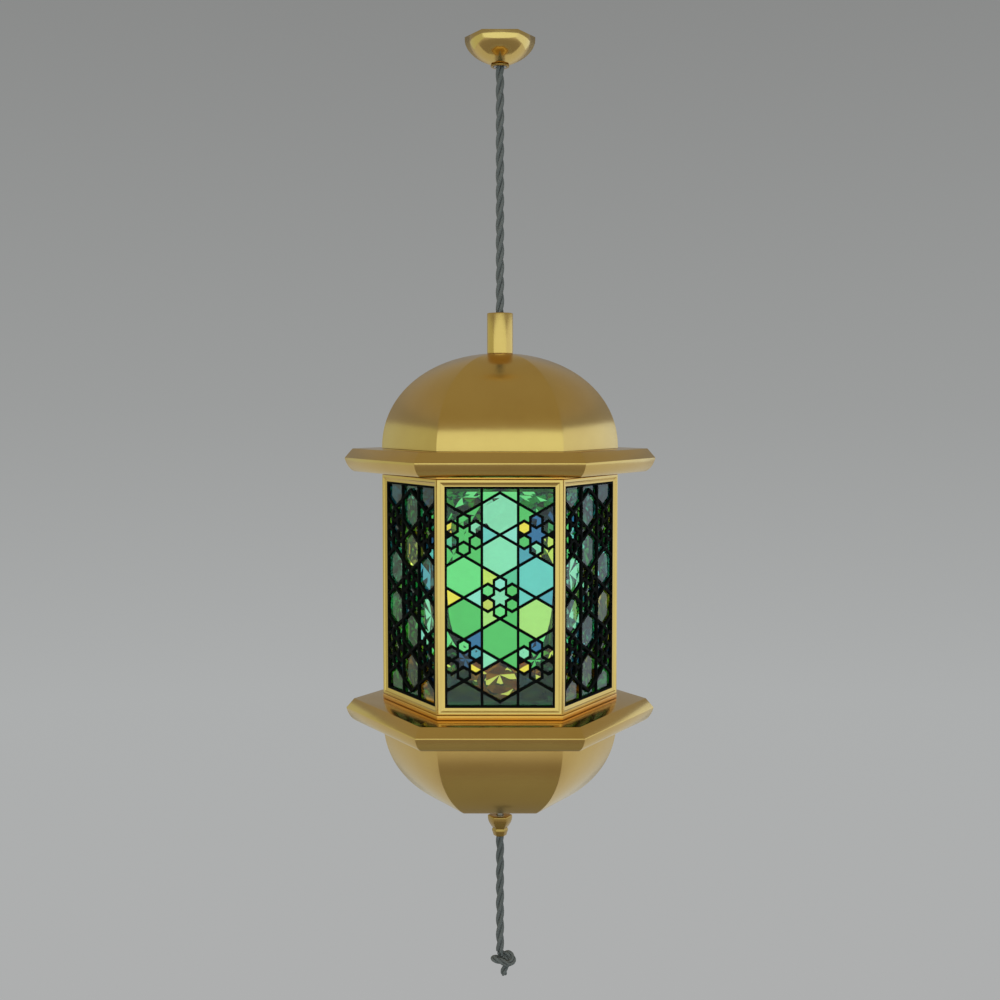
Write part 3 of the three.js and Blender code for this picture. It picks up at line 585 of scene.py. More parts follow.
def path_through(points, step):
    """An even path along a smooth curve through some points."""
    held = [Vector(q) for q in (points[0], *points, points[-1])]
    dense, parts = [], 24
    for a, b, c, d in zip(held, held[1:], held[2:], held[3:]):
        for i in range(parts):
            t = i / parts
            squared, cubed = 2 * a - 5 * b + 4 * c - d, 3 * b - a - 3 * c + d
            dense.append(0.5 * (2 * b + (c - a) * t + squared * t**2 + cubed * t**3))
    dense.append(Vector(points[-1]))
    total = sum((q - p).length for p, q in zip(dense, dense[1:]))
    count = max(3, round(total / step))
    even, walked, k = [dense[0]], 0.0, 0
    for i in range(1, count):
        goal = total * i / count
        while walked + (dense[k + 1] - dense[k]).length < goal:
            walked += (dense[k + 1] - dense[k]).length
            k += 1
        leg = (dense[k + 1] - dense[k]).length
        even.append(dense[k].lerp(dense[k + 1], (goal - walked) / leg))
    even.append(dense[-1])
    return even


def twisted(name, path, diameter, lay, strands=3, around=16, first=0.0, ends=0.0006):
    """A mesh of strands laid round a path like the middle of a Z, each with fine yarns of its own."""
    # how far the strands' middles lie from the path, and half a strand's thickness
    spread = diameter / 2 / (1 + math.sin(math.pi / strands)) if strands > 1 else 0.0
    thick = diameter / 2 - spread
    # yarns of a strand, how far they stand out, radians they turn in a lay, and the thickness left at an end
    yarns, relief, slant, tip = 6, 0.035, 14, 0.72
    across = Vector((1, 0, 0))
    verts, faces, coordinates = [], [], []
    rings = []
    walked = 0.0
    for i, point in enumerate(path):
        ahead = (path[min(i + 1, len(path) - 1)] - path[max(i - 1, 0)]).normalized()
        across = (across - ahead * across.dot(ahead)).normalized()
        other = ahead.cross(across)
        if i:
            walked += (point - path[i - 1]).length
        rings.append((point, across.copy(), other, walked))
    for k in range(strands):
        base = len(verts)
        for i, (point, u, v, s) in enumerate(rings):
            turn = first + 2 * math.pi * (s / lay + k / strands)
            middle = point + (u * math.cos(turn) + v * math.sin(turn)) * spread
            end = min(s, walked - s)
            taper = tip + (1 - tip) * min(1.0, end / ends)
            for j in range(around):
                a = 2 * math.pi * j / around
                lobe = 1 + relief * math.cos(yarns * (a - turn) - s / lay * slant)
                r = thick * lobe * taper
                verts.append(middle + (u * math.cos(a + turn) + v * math.sin(a + turn)) * r)
        for i in range(len(rings) - 1):
            for j in range(around):
                n = (j + 1) % around
                a, b = base + i * around, base + (i + 1) * around
                faces.append((a + j, b + j, b + n, a + n))
                s0, s1 = rings[i][3], rings[i + 1][3]
                t0, t1 = (2 * math.pi * thick * x / around for x in (j, j + 1))
                coordinates += [(s0, t0), (s1, t0), (s1, t1), (s0, t1)]
        for i, flip in ((0, False), (len(rings) - 1, True)):
            row = [base + i * around + j for j in range(around)]
            centre = len(verts)
            verts.append(sum((verts[x] for x in row), Vector()) / around)
            for j in range(around):
                pair = (row[j], row[(j + 1) % around])
                faces.append((centre, *(pair if not flip else pair[::-1])))
                coordinates += [(rings[i][3], 0.0)] * 3
    mesh = bpy.data.meshes.new(name)
    mesh.from_pydata([tuple(v) for v in verts], [], faces)
    layer = mesh.uv_layers.new(name="strand")
    for loop, pair in zip(layer.data, coordinates):
        loop.uv = pair
    piece = added(name, mesh)
    edit(piece)
    bpy.ops.mesh.normals_make_consistent(inside=False)
    leave()
    return smooth(piece, 60)


def straight(top, bottom, step):
    count = round((top - bottom) / step)
    return [Vector((0, 0, top + (bottom - top) * i / count)) for i in range(count + 1)]


# The overhand knot, from where the pull cord enters it to its short tail, round the knot's middle
KNOT_ROUTE = (
    (0.0, 0.0, 8.0), (0.8, 1.2, 5.6), (3.6, 3.1, 3.9), (7.8, 3.0, 4.4), (11.8, 1.0, 2.6),
    (12.6, -2.0, -0.8), (9.2, -3.8, -3.4), (3.4, -4.2, -1.8), (-2.6, -3.6, 0.2), (-6.0, -0.6, 0.8),
    (-4.2, 2.8, 0.0), (1.0, 3.4, -1.6), (6.2, 2.2, 0.6), (8.6, 0.2, -1.4), (6.4, 0.2, -5.4),
    (4.4, 0.0, -10.5), (3.6, 0.0, -16.4),
)


class LANTERN_OT_flex(bpy.types.Operator):
    """The twisted flex, the pull cord and its knot"""

    bl_idname = "lantern.flex"
    bl_label = "Flex and pull cord"

    def execute(self, context):
        s, cloth = sizes(), finish("flex_yarn")
        step = 0.0016
        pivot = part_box("canopy_nut")[0].z
        route = straight(pivot + 0.001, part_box("cord_tail")[0].z, step)
        flex = twisted("suspension_flex", route, s.rope, s.lay)
        dressed(flex, "lantern", cloth, "twisted_textile", "suspension_cord", "cord_tail")

        low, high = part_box("cord_head")
        stub = twisted("flex_end_in_post", straight(high.z, low.z, step), s.rope, s.lay)
        dressed(stub, "ceiling_mount", cloth, "twisted_textile", "cord_head")

        low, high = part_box("pull_cord")
        route = straight(high.z, low.z, step)
        pull = twisted("pull_cord_twist", route, s.rope, s.lay, first=1.2)
        dressed(pull, "pull", cloth, "twisted_textile", "pull_cord")
        gap, half_knot = 0.0003, 0.0075
        middle = low.z - gap - half_knot
        points = [(x * MM, y * MM, middle + z * MM) for x, y, z in KNOT_ROUTE]
        knot = twisted("pull_cord_knot", path_through(points, 0.0009), s.knot_rope, s.lay * 0.62, first=2.4)
        dressed(knot, "pull", cloth, "twisted_textile", "pull_knot")
        return {"FINISHED"}


class LANTERN_OT_camera(bpy.types.Operator):
    """The camera, below the ceiling cup and a little above the panels, looking slightly down"""

    bl_idname = "lantern.camera"
    bl_label = "Camera"

    def execute(self, context):
        camera = added("camera", bpy.data.cameras.new("camera"))
        camera.data.lens = 50
        camera.data.sensor_width = 36
        camera.location = CAMERA
        camera.rotation_euler = (math.radians(90 - PITCH), 0, 0)
        context.scene.camera = camera
        return {"FINISHED"}


class LANTERN_OT_ceiling_cup(bpy.types.Operator):
    """The six-sided cup on the ceiling and the ring nut that holds it"""

    bl_idname = "lantern.ceiling_cup"
    bl_label = "Ceiling cup"

    def execute(self, context):
        s, brass = sizes(), finish("polished_brass")
        low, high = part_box("ceiling_canopy")
        radius = high.x
        depth = (high.z - s.cup_rim - low.z) / rise(s.cup_seat / radius, s.cup_roundness)
        profile = curve(radius, -depth, high.z - s.cup_rim, s.cup_roundness, radius, s.cup_seat, s.curve_steps)
        hole = 0.0079
        cup = drawn("ceiling_cup", [(radius, high.z), *profile, (hole, low.z)], 6)
        applied(cup, "SOLIDIFY", thickness=s.sheet, offset=-1, use_even_offset=True)
        smooth(cup, 75)
        dressed(cup, "ceiling_mount", brass, "bright_brass", "ceiling_canopy")

        low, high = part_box("canopy_nut")
        r, bore, rim = high.x, 0.0068, 0.0004
        profile = [
            (bore, high.z), (r - rim, high.z), (r, high.z - rim), (r, low.z + rim),
            (r - rim, low.z), (bore + rim, low.z), (bore, low.z + rim), (bore, high.z),
        ]
        nut = smooth(drawn("cup_ring_nut", profile, 48), 25)
        dressed(nut, "ceiling_mount", finish("aged_brass"), "bright_brass", "canopy_nut")
        return {"FINISHED"}


class LANTERN_OT_shells(bpy.types.Operator):
    """The pressed dome and bowl, each of six gores"""

    bl_idname = "lantern.shells"
    bl_label = "Dome and bowl"

    def execute(self, context):
        s, brass = sizes(), finish("satin_brass")
        for name, node, flat, hole in (
            ("dome_shell", "dome", s.dome_seat, 0.00612),
            ("bowl_shell", "lower_bowl", s.bowl_flat, 0.00416),
        ):
            low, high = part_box(node)
            up = node == "dome"
            base, end = (low.z, high.z) if up else (high.z, low.z)
            height = (end - base) / rise(flat / BODY_RADIUS, s.roundness)
            profile = curve(BODY_RADIUS, height, base, s.roundness, BODY_RADIUS, flat, s.curve_steps)
            profile.append((hole, end))
            shell = drawn(name, profile, 6)
            rounded(shell, s.gore_edge, 2, 9)
            applied(shell, "SOLIDIFY", thickness=s.sheet, offset=-1, use_even_offset=True)
            smooth(shell, 24)
            dressed(shell, "lantern", brass, "brass", node)
        return {"FINISHED"}


class LANTERN_OT_brims(bpy.types.Operator):
    """The two brims, pressed with a sloping edge, a sharp ridge and a rounded underside"""

    bl_idname = "lantern.brims"
    bl_label = "Brims"

    def execute(self, context):
        s, brass = sizes(), finish("satin_brass")
        for name, node in (("upper_brim_moulding", "upper_brim"), ("lower_brim_moulding", "lower_brim")):
            low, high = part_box(node)
            ridge, drop = high.x, 0.0093
            foot, shoulder, inner = 0.143, 0.1446, 0.107
            bend_r, bend_z = 0.1497, low.z + 0.003  # the underside's curve leans to this point
            steps = 9
            profile = [(inner, high.z), (shoulder, high.z)]
            for i in range(steps + 1):
                t = i / steps
                a, b, c = (1 - t) ** 2, 2 * t * (1 - t), t * t
                z = a * (high.z - drop) + b * bend_z + c * low.z
                profile.append((a * ridge + b * bend_r + c * foot, z))
            profile.append((inner, low.z))
            moulding = drawn(name, profile, 6)
            rounded(moulding, 0.0005, 2, 28)
            applied(moulding, "SOLIDIFY", thickness=s.sheet, offset=-1, use_even_offset=True)
            smooth(moulding, 26)
            dressed(moulding, "lantern", brass, "brass", node)
        for name, node in (("upper_frame_ring", "upper_ring"), ("lower_frame_ring", "lower_ring")):
            # the frame rings take the redder brass, a painted reflection of brass in brass
            ring = smooth(rounded(copy_of(node, name), 0.0004), 30)
            dressed(ring, "lantern", finish("brass_painted_reflection"), "brass", node)
        return {"FINISHED"}


class LANTERN_OT_frames(bpy.types.Operator):
    """The six brass frames, one of them the door's"""

    bl_idname = "lantern.frames"
    bl_label = "Frames"

    def execute(self, context):
        first = smooth(rounded(copy_of("frame_front", "panel_frame_front"), 0.0004, 2, 18), 30)
        on_every_face(first, "panel_frame_", finish("satin_brass"), "brass", "frame_")
        return {"FINISHED"}


class LANTERN_OT_cames(bpy.types.Operator):
    """The lead cames of the six panels, with the strip that holds each panel in its frame"""

    bl_idname = "lantern.cames"
    bl_label = "Lead cames"

    def execute(self, context):
        s = sizes()
        first = copy_of("lattice_front", "cames_front")
        edit(first)
        bpy.ops.transform.shrink_fatten(value=s.came_swell, use_even_offset=True)
        leave()
        smooth(rounded(first, s.came_edge, 2, 60), 40)
        low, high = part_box("lattice_front")
        tuck, width, depth, gap = 0.0016, 0.0026, 0.0018, 0.0004
        deselect()
        bpy.ops.mesh.primitive_plane_add(
            size=1, location=(0, high.y + s.came_swell + gap, PANEL_MIDDLE), rotation=(math.pi / 2, 0, 0)
        )
        strip = named("holding_strip")
        strip.scale = (high.x - low.x + 2 * tuck, high.z - low.z + 2 * tuck, 1)
        settle(strip)
        edit(strip, "FACE")
        bpy.ops.mesh.inset(thickness=width)
        bpy.ops.mesh.delete(type="FACE")
        leave()
        applied(strip, "SOLIDIFY", thickness=depth, offset=-1)
        rounded(strip, 0.0003, 2, 60)
        take(first)
        strip.select_set(True)
        bpy.ops.object.join()
        on_every_face(first, "cames_", finish("blackened_lead"), "lead_came", "lattice_")
        return {"FINISHED"}


def hexagon_glass(u, v, hexagons):
    """The glass of the large hexagon with its middle here, if there is one."""
    for (a, b), glass in hexagons.items():
        if abs(u - a * HALF_WIDTH) < 0.1 and abs(v - b) < 0.1:
            return glass
    return None


def rosette_glass(u, v):
    """The glass of the star, small hexagon or arrow here, if there is one."""
    for (a, b), row in ROSETTES.items():
        du, dv = u - 2 * HALF_WIDTH * a, v - 3 * b
        words = row.split()
        away = math.hypot(du, dv)
        if away < 0.1:
            return words[0]
        if abs(away - 2 / 3) < 0.08 and (abs(du) < 0.1 or abs(du) > 0.5) and abs(dv) > 0.2:
            return words[1 + ((0 if dv > 0 else 5) if abs(du) < 0.1 else 1 + (du > 0) + 2 * (dv < 0))]
        if abs(du) < 0.85 and 0.7 < abs(dv) < 1.25:
            return words[7 + (du > 0) + 2 * (dv < 0)]
    return None


def row_glass(u, v):
    """The glass of the triangles in the middle row, in the rows above and below it, and at the ends."""
    if abs(v) < 0.2:
        row = {-2: "yellow", -1: "pale_aqua", 1: "teal", 2: "blue_teal"}
        return row[round(u / HALF_WIDTH + (0.2 if u < 0 else -0.2)) or 1] if abs(u) > 0.3 else "teal"
    if 2.6 < abs(v) < 3.4:
        return ("pale_aqua" if u > 0 else "teal") if v > 0 else ("green" if u > 0 else "aqua")
    return "deep_teal" if v < 0 else "leaf"


def pane_tints(centres, face):
    """The glass of each pane, by where its middle lies in the pattern."""
    pick = random.Random(FACES.index(face) * 7 + 3)
    found = []
    for x, z in centres:
        u, v = x / HEXAGON_SIDE, (z - PANEL_MIDDLE) / HEXAGON_SIDE
        if face == "front":
            name = hexagon_glass(u, v, HEXAGONS) or rosette_glass(u, v) or row_glass(u, v)
        else:
            drawn_lot = pick.choice(SIDE_GLASS)
            name = hexagon_glass(u, v, SIDE_HEXAGONS.get(face, {})) or drawn_lot
        found.append(GLASS[name])
    return found


class LANTERN_OT_panes(bpy.types.Operator):
    """The panes of cut glass, smooth outside and chipped into facets inside"""

    bl_idname = "lantern.panes"
    bl_label = "Glass"

    def outlines(self):
        """One flat face for each hole of the front lattice."""
        piece = copy_of("lattice_front", "pane_outlines")
        front = min(v.co.y for v in piece.data.vertices)
        edit(piece, "FACE")
        choose(piece, lambda f: abs(f.calc_center_median().y - front) > 1e-5)
        bpy.ops.mesh.delete(type="FACE")
        bpy.ops.mesh.select_mode(type="EDGE")
        choose_open_edges()
        bpy.ops.mesh.select_all(action="INVERT")
        bpy.ops.mesh.delete(type="EDGE_FACE")
        low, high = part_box("lattice_front")
        choose(
            piece,
            lambda v: abs(abs(v.co.x) - high.x) < 1e-5 and min(v.co.z - low.z, high.z - v.co.z) < 1e-5,
            "VERT",
        )
        bpy.ops.mesh.delete(type="VERT")
        bpy.ops.mesh.select_all(action="SELECT")
        bpy.ops.mesh.edge_face_add()
        bpy.ops.transform.translate(value=(0, sizes().glass_front - BODY_FLAT - front, 0))
        mesh = bmesh.from_edit_mesh(piece.data)
        mesh.normal_update()
        choose(piece, lambda f: f.normal.y < 0)
        bpy.ops.mesh.flip_normals()
        leave()
        return piece

    def chipped(self, piece, seed, plain_middle):
        """Thickens the flat panes and cuts their backs like gems, with facets that spread from each middle."""
        s = sizes()
        thin = 0.0005  # thickness at a pane's edges
        wide = 0.00028  # area over which a pane counts as large
        plain_reach = 0.06  # how far the lit panes that stay plain lie from the middle
        small_rise, point_rise, plain_rise = 0.0011, 0.0014, 0.0001
        border_inset, border_depth, border_rise = 0.0056, 0.0013, 0.0009
        gem_inset, gem_depth = 0.0034, 0.0014
        frame_strip, shallow, deep = 0.017, 0.0068, 0.0115  # the glass stays shallow near the frame's ends
        edit(piece, "FACE")
        mesh = bmesh.from_edit_mesh(piece.data)
        mesh.normal_update()
        bpy.ops.mesh.extrude_region_move(TRANSFORM_OT_translate={"value": (0, thin, 0)})
        bpy.ops.mesh.select_all(action="SELECT")
        bpy.ops.mesh.normals_make_consistent(inside=False)
        bpy.ops.transform.shrink_fatten(value=s.glass_tuck, use_even_offset=True)
        back = s.glass_front - BODY_FLAT + thin
        edge = PANEL_HEIGHT / 2 - frame_strip

        def is_back(f):
            return f.normal.y > 0.9 and f.calc_center_median().y > back - 0.0001

        def lit(f):
            return plain_middle and abs(f.calc_center_median().z - PANEL_MIDDLE) < plain_reach

        def is_gem(f, corners=6):
            return is_back(f) and len(f.verts) == corners and f.calc_area() > wide and not lit(f)

        def is_plain(f):
            return is_back(f) and len(f.verts) == 6 and f.calc_area() > wide and lit(f)

        def is_border(f):
            return is_back(f) and not is_gem(f) and not is_plain(f) and f.calc_area() > wide

        choose(piece, lambda f: is_back(f) and len(f.verts) < 6 and f.calc_area() < wide and not lit(f))
        bpy.ops.mesh.poke(offset=small_rise)
        choose(piece, is_border)
        bpy.ops.mesh.subdivide(number_cuts=1)
        choose(piece, is_border)
        bpy.ops.mesh.inset(thickness=border_inset, depth=border_depth, use_individual=True)
        bpy.ops.mesh.poke(offset=border_rise)
        choose(piece, lambda f: is_back(f) and len(f.verts) in (6, 12) and f.calc_area() < wide)
        bpy.ops.mesh.poke(offset=point_rise)
        choose(piece, is_gem)
        bpy.ops.mesh.subdivide(number_cuts=1)
        choose(piece, lambda f: is_gem(f, 12))
        bpy.ops.mesh.inset(thickness=gem_inset, depth=gem_depth, use_individual=True)
        bpy.ops.mesh.poke(offset=s.gem)
        if plain_middle:
            # the lowest gem's point lies above its middle
            lowest = PANEL_MIDDLE - plain_reach
            choose(piece, lambda v: v.co.y > back + 0.004 and v.co.z < lowest and abs(v.co.x) < 0.002, "VERT")
            bpy.ops.transform.translate(value=(0, -0.0005, 0.0045))
        choose(piece, is_plain)
        bpy.ops.mesh.poke(offset=plain_rise)
        bpy.ops.mesh.select_all(action="SELECT")
        bpy.ops.mesh.quads_convert_to_tris()
        inner = back + s.glass_tuck + 0.00015
        choose(piece, lambda v: v.co.y > inner, "VERT")
        bpy.ops.transform.vertex_random(offset=s.facet, uniform=0.9, normal=0.0, seed=seed)
        choose(piece, lambda v: v.co.y > back + 0.0016, "VERT")
        bpy.ops.transform.vertex_random(offset=2.4 * s.facet, uniform=0.9, normal=0.0, seed=seed + 20)
        leave()
        for v in piece.data.vertices:
            if v.co.y > back - 0.0002:
                deepest = shallow if abs(v.co.z - PANEL_MIDDLE) > edge else deep
                v.co.y = min(max(v.co.y, back - 0.0001), deepest - BODY_FLAT)

    def execute(self, context):
        glass = finish("tinted_glass")
        flat = self.outlines()
        for i, face in enumerate(FACES):
            piece = added("panes_" + face, flat.data.copy())
            centres = [(polygon.center.x, polygon.center.z) for polygon in piece.data.polygons]
            tint = piece.data.attributes.new("tint", "FLOAT_COLOR", "POINT")
            for polygon, shade in zip(piece.data.polygons, pane_tints(centres, face)):
                for v in polygon.vertices:
                    tint.data[v].color = (*shade, 1)
            self.chipped(piece, 11 + i, face == "front")
            piece.data.transform(Matrix.Rotation(i * math.pi / 3, 4, "Z"))
            dressed(piece, body_of_face(face), glass, "stained_glass", "pane_" + face)
        bpy.data.objects.remove(flat)
        return {"FINISHED"}


class LANTERN_OT_lamp(bpy.types.Operator):
    """The oval lamp and its holder"""

    bl_idname = "lantern.lamp"
    bl_label = "Lamp"

    def execute(self, context):
        low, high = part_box("bulb_globe")
        radius, half, neck = high.x, 0.092, 0.0144
        middle = low.z + half
        share = 2 / sizes().lamp_roundness
        last = math.pi - math.asin((neck / radius) ** (1 / share))
        steps = 30
        profile = []
        for i in range(1, steps + 1):
            a = last * i / steps
            up = math.copysign(abs(math.cos(a)) ** share, math.cos(a))
            profile.append((radius * math.sin(a) ** share, middle - half * up))
        profile += [(neck - 0.0006, high.z - 0.0008), (neck - 0.0014, high.z)]
        lamp = smooth(closed(drawn("lamp_oval", profile, 64)), 50)
        dressed(lamp, "lantern", finish("lit_opal_glass"), "lamp_glass", "bulb_globe")

        low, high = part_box("lampholder")
        r, wall, hole, edge, groove = high.x, 0.003, 0.0053, 0.0006, 0.0008
        inner = r - wall
        profile = [(inner, low.z + edge), (inner + edge, low.z), (r - edge, low.z), (r, low.z + edge)]
        skirt = low.z + 0.016
        profile += [(r, skirt), (r - groove, skirt + 0.001), (r - groove, skirt + 0.003), (r, skirt + 0.004)]
        shoulder, crown, steps = hole + wall, 0.018, 8
        for i in range(steps + 1):
            a = math.pi / 2 * i / steps
            profile.append((shoulder + (r - shoulder) * math.cos(a), high.z - crown * (1 - math.sin(a))))
        floor = high.z - 0.014
        profile += [(hole, high.z), (hole, floor), (inner, floor), (inner, low.z + edge)]
        holder = smooth(drawn("lampholder_cup", profile, 48), 30)
        dressed(holder, "lantern", finish("moulded_black"), "black_plastic", "lampholder")
        return {"FINISHED"}


class LANTERN_OT_fittings(bpy.types.Operator):
    """The cord tube, finial, hinges, knob, switch and other fittings"""

    bl_idname = "lantern.fittings"
    bl_label = "Fittings"

    def tube(self):
        low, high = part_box("cord_tube")
        r, edge, hole, floor_hole, cap = high.x, 0.0009, 0.0044, 0.0053, 0.003
        inner = r - 0.0018
        profile = [(floor_hole, low.z), (r - 0.0003, low.z), (r, low.z + 0.0003), (r, high.z - edge)]
        for a in (0.5, 1.0, math.pi / 2):
            profile.append((r - edge * (1 - math.cos(a)), high.z - edge * (1 - math.sin(a))))
        profile += [
            (hole + 0.0004, high.z), (hole, high.z - 0.0004), (hole, high.z - cap), (inner, high.z - cap),
            (inner, low.z + cap), (floor_hole, low.z + cap), (floor_hole, low.z),
        ]
        piece = smooth(drawn("cord_tube_sleeve", profile, 56), 30)
        dressed(piece, "lantern", finish("satin_brass"), "bright_brass", "cord_tube")

    def finial(self):
        low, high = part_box("finial")
        r, waist, bore, neck = high.x, 0.0073, 0.00531, 0.00416
        top = high.z
        profile = [
            (neck, top), (r - 0.0004, top), (r, top - 0.0005), (r, top - 0.0014), (r - 0.0001, top - 0.0034),
            (r - 0.0005, top - 0.0055), (r - 0.0012, top - 0.0074), (r - 0.0022, top - 0.0092),
            (waist + 0.0014, top - 0.0112), (waist + 0.0004, top - 0.0124), (waist, top - 0.0132),
            (waist + 0.0007, top - 0.0142), (waist + 0.0007, top - 0.0158), (waist + 0.0002, top - 0.0172),
            (bore + 0.0016, low.z + 0.0018), (bore + 0.0011, low.z), (bore, low.z), (bore, top - 0.0042),
            (neck, top - 0.0042), (neck, top),
        ]
        piece = smooth(rounded(drawn("finial_bell", profile, 6), 0.0003, 2, 45), 40)
        dressed(piece, "lantern", finish("aged_brass"), "brass", "finial")

    def lead(self):
        """The switch's lead, along the route that the CAD gives it."""
        flat = BODY_FLAT - 0.0071
        corner = flat / math.cos(math.pi / 6) - 0.0024 - 0.008
        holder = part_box("lampholder")[1].z
        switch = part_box("pull_switch")[1].z
        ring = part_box("frame_front")[0].z - 0.0003
        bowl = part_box("lower_bowl")[1].z
        d = sizes().lead
        route = (
            (0.0203 + d / 8, holder - 0.022), (0.034, holder - 0.022), (corner - 0.018, holder - 0.034),
            (corner, holder - 0.062), (corner, PANEL_MIDDLE), (corner, ring), (corner - 0.004, bowl),
            (corner - 0.034, switch - 0.002), (0.032, switch - 0.008), (0.0143 + d / 8, switch - 0.008),
        )
        points = [(r * math.cos(math.pi / 3), r * math.sin(math.pi / 3), z) for r, z in route]
        path = path_through(points, 0.004)
        piece = twisted("switch_lead", path, d, 1.0, strands=1, around=14)
        dressed(piece, "lantern", finish("moulded_black"), "black_sleeve", "switch_cable")

    def knob(self):
        low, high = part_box("door_knob")
        radius, depth = (high.x - low.x) / 2, high.y - low.y
        profile = [
            (0.0004, 0), (0.003, 0), (0.003, 0.0007), (0.0019, 0.0013), (0.0017, 0.0024), (0.0019, 0.0036),
            (0.0034, 0.0048), (radius, 0.0058), (radius, 0.0070), (0.0036, 0.0078), (0.0026, 0.0084),
            (0.0012, depth), (0.0004, depth),
        ]
        piece = smooth(closed(drawn("knob", profile, 32)), 35)
        piece.data.transform(Matrix.Rotation(-math.pi / 2, 4, "X"))
        piece.data.transform(Matrix.Translation(((low.x + high.x) / 2, low.y, (low.z + high.z) / 2)))
        dressed(piece, "door", finish("polished_brass"), "bright_brass", "door_knob")

    def execute(self, context):
        self.tube()
        self.finial()
        self.lead()
        self.knob()
        brass = finish("satin_brass")
        for node in (
            "hinge_upper_fixed_leaf", "hinge_upper_pin", "hinge_lower_fixed_leaf", "hinge_lower_pin",
            "hinge_upper_door_leaf", "hinge_lower_door_leaf", "stem_nut",
        ):
            body = "door" if "door" in node else "lantern"
            piece = smooth(rounded(copy_of(node, node + "_worked"), 0.0002, 2, 40), 30)
            dressed(piece, body, brass, "brass", node)
        finishes = {
            "zinc_plate": "ceiling_plate hanger_post threaded_pipe pipe_nut_upper dome_washer pipe_nut_lower "
            "bulb_cap switch_stem pull_rod door_magnet",
            "moulded_white": "terminal_block cord_grip",
            "moulded_black": "pull_switch",
        }
        for name, nodes in finishes.items():
            for node in nodes.split():
                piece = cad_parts[node]
                piece.data.materials.clear()
                piece.data.materials.append(finish(name))
        return {"FINISHED"}


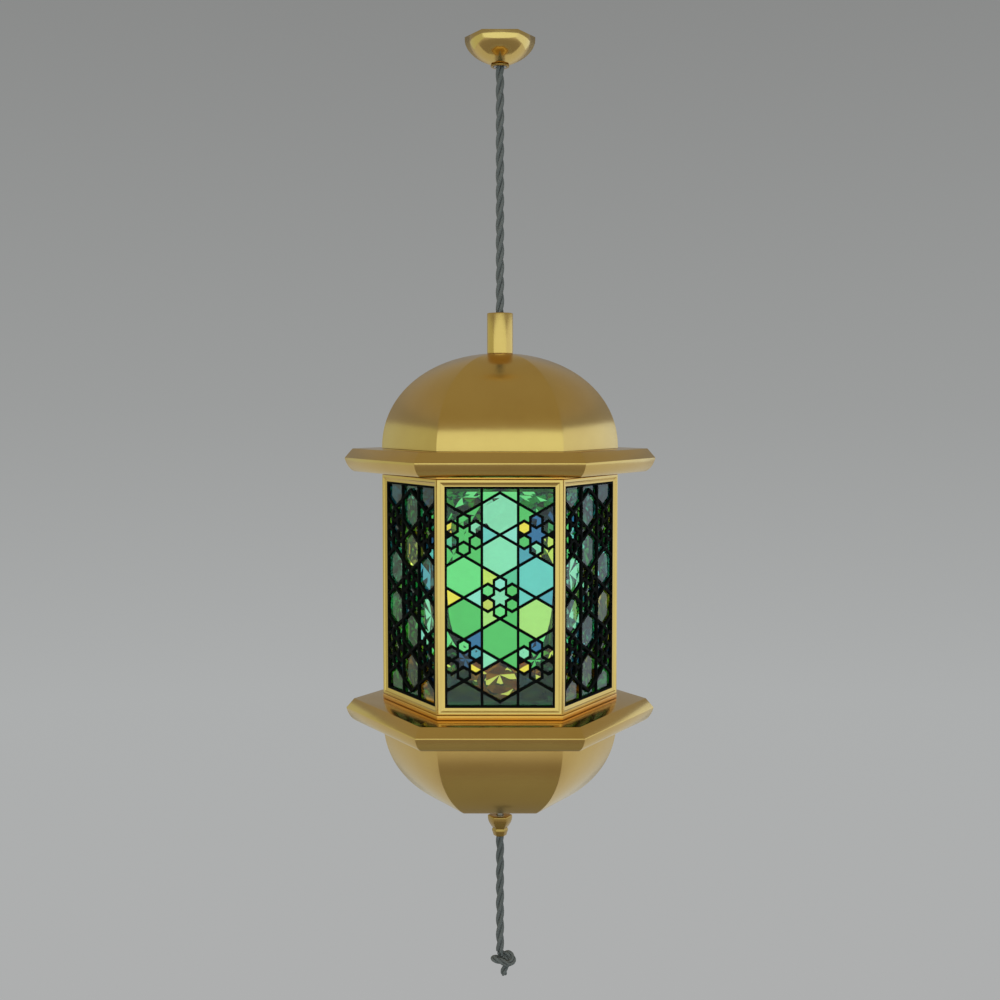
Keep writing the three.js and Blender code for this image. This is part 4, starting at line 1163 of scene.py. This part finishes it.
class LANTERN_OT_stage(bpy.types.Operator):
    """A pale floor that fades out, a grey studio and soft walls of light that the camera doesn't see"""

    bl_idname = "lantern.stage"
    bl_label = "Stage"

    def floor(self):
        deselect()
        bpy.ops.mesh.primitive_circle_add(vertices=96, radius=3, fill_type="NGON", location=(0, 0, FLOOR))
        floor = named("floor")
        m = Nodes("studio_floor")
        m.set(Roughness=0.9)
        pale = colours().floor
        m.mottled(3, 2, pale, tuple(c * 0.97 for c in pale))
        distance = m.node("VectorMath", operation="LENGTH")
        m.link(m.node("TexCoord").outputs["Object"], distance.inputs[0])
        fade_from, fade_to = 0.5, 0.8
        m.feed(m.between(distance.outputs["Value"], 1.0, 0.0, fade_from, fade_to), "Alpha")
        floor.data.materials.append(m.material)

    def studio(self, context):
        """Plain grey all round, palest low down."""
        world = bpy.data.worlds.new("studio")
        world.use_nodes = True
        context.scene.world = world
        tree = world.node_tree
        direction = tree.nodes.new("ShaderNodeSeparateXYZ")
        tree.links.new(tree.nodes.new("ShaderNodeTexCoord").outputs["Generated"], direction.inputs[0])
        height = tree.nodes.new("ShaderNodeMapRange")
        height.inputs["From Min"].default_value = -1
        tree.links.new(direction.outputs["Z"], height.inputs["Value"])
        shade = tree.nodes.new("ShaderNodeValToRGB")
        elements = shade.color_ramp.elements
        while len(elements) < len(GREYS):
            elements.new(0.5)
        for element, (z, _) in zip(elements, GREYS):
            element.position = (z + 1) / 2
        for element, (_, grey) in zip(elements, GREYS):
            element.color = (*grey, 1)
        tree.links.new(height.outputs["Result"], shade.inputs[0])
        tree.links.new(shade.outputs["Color"], tree.nodes["Background"].inputs["Color"])

    def wall(self, name, corner, across, up, light):
        """A flat softly glowing wall from one corner, hidden from the camera."""
        corner, across, up = map(Vector, (corner, across, up))
        deselect()
        bpy.ops.mesh.primitive_plane_add(size=1, location=(0, 0, 0))
        wall = named(name)
        for v, (i, j) in zip(wall.data.vertices, ((0, 0), (1, 0), (0, 1), (1, 1))):
            v.co = corner + across * i + up * j
        glow = bpy.data.materials.new(name)
        glow.use_nodes = True
        tree = glow.node_tree
        tree.nodes.clear()
        emission = tree.nodes.new("ShaderNodeEmission")
        emission.inputs["Color"].default_value = (*light, 1)
        tree.links.new(emission.outputs[0], tree.nodes.new("ShaderNodeOutputMaterial").inputs[0])
        wall.data.materials.append(glow)
        wall.visible_camera = False
        wall.visible_shadow = False

    def overhead(self):
        """A broad light that shades the matt pieces and shows in no reflection."""
        light = bpy.data.lights.new("overhead", "AREA")
        light.shape = "DISK"
        light.size = 2.4
        light.energy = 26
        lamp = added("overhead", light)
        lamp.location = (-0.9, -1.6, 1.9)
        body = Vector((0, 0, -0.6))
        lamp.rotation_euler = (body - lamp.location).to_track_quat("-Z", "Y").to_euler()
        lamp.visible_glossy = False
        lamp.visible_camera = False

    def execute(self, context):
        self.floor()
        self.studio(context)
        for wall in WALLS:
            self.wall(*wall)
        self.overhead()
        context.scene.view_settings.view_transform = "Standard"
        return {"FINISHED"}


OPERATORS = (
    LANTERN_OT_camera,
    LANTERN_OT_flex,
    LANTERN_OT_ceiling_cup,
    LANTERN_OT_shells,
    LANTERN_OT_brims,
    LANTERN_OT_frames,
    LANTERN_OT_cames,
    LANTERN_OT_panes,
    LANTERN_OT_lamp,
    LANTERN_OT_fittings,
    LANTERN_OT_stage,
)


class VIEW3D_PT_lantern(bpy.types.Panel):
    """Lists the lantern's sizes, colours and pieces."""

    bl_idname = "VIEW3D_PT_lantern"
    bl_label = "Stained glass lantern"
    bl_space_type = "VIEW_3D"
    bl_region_type = "UI"
    bl_category = "Lantern"

    def draw(self, context):
        for group in (context.scene.lantern_sizes, context.scene.lantern_colours):
            for name in group.__annotations__:
                self.layout.prop(group, name)
        for operator in OPERATORS:
            self.layout.operator(operator.bl_idname)


CLASSES = (LanternSizes, LanternColours, *OPERATORS, VIEW3D_PT_lantern)


def register():
    for item in CLASSES:
        bpy.utils.register_class(item)
    bpy.types.Scene.lantern_sizes = PointerProperty(type=LanternSizes)
    bpy.types.Scene.lantern_colours = PointerProperty(type=LanternColours)


def unregister():
    del bpy.types.Scene.lantern_sizes
    del bpy.types.Scene.lantern_colours
    for item in reversed(CLASSES):
        bpy.utils.unregister_class(item)


def main():
    register()
    for operator in OPERATORS:
        getattr(bpy.ops.lantern, operator.bl_idname.split(".")[1])()


if __name__ == "__main__":
    main()
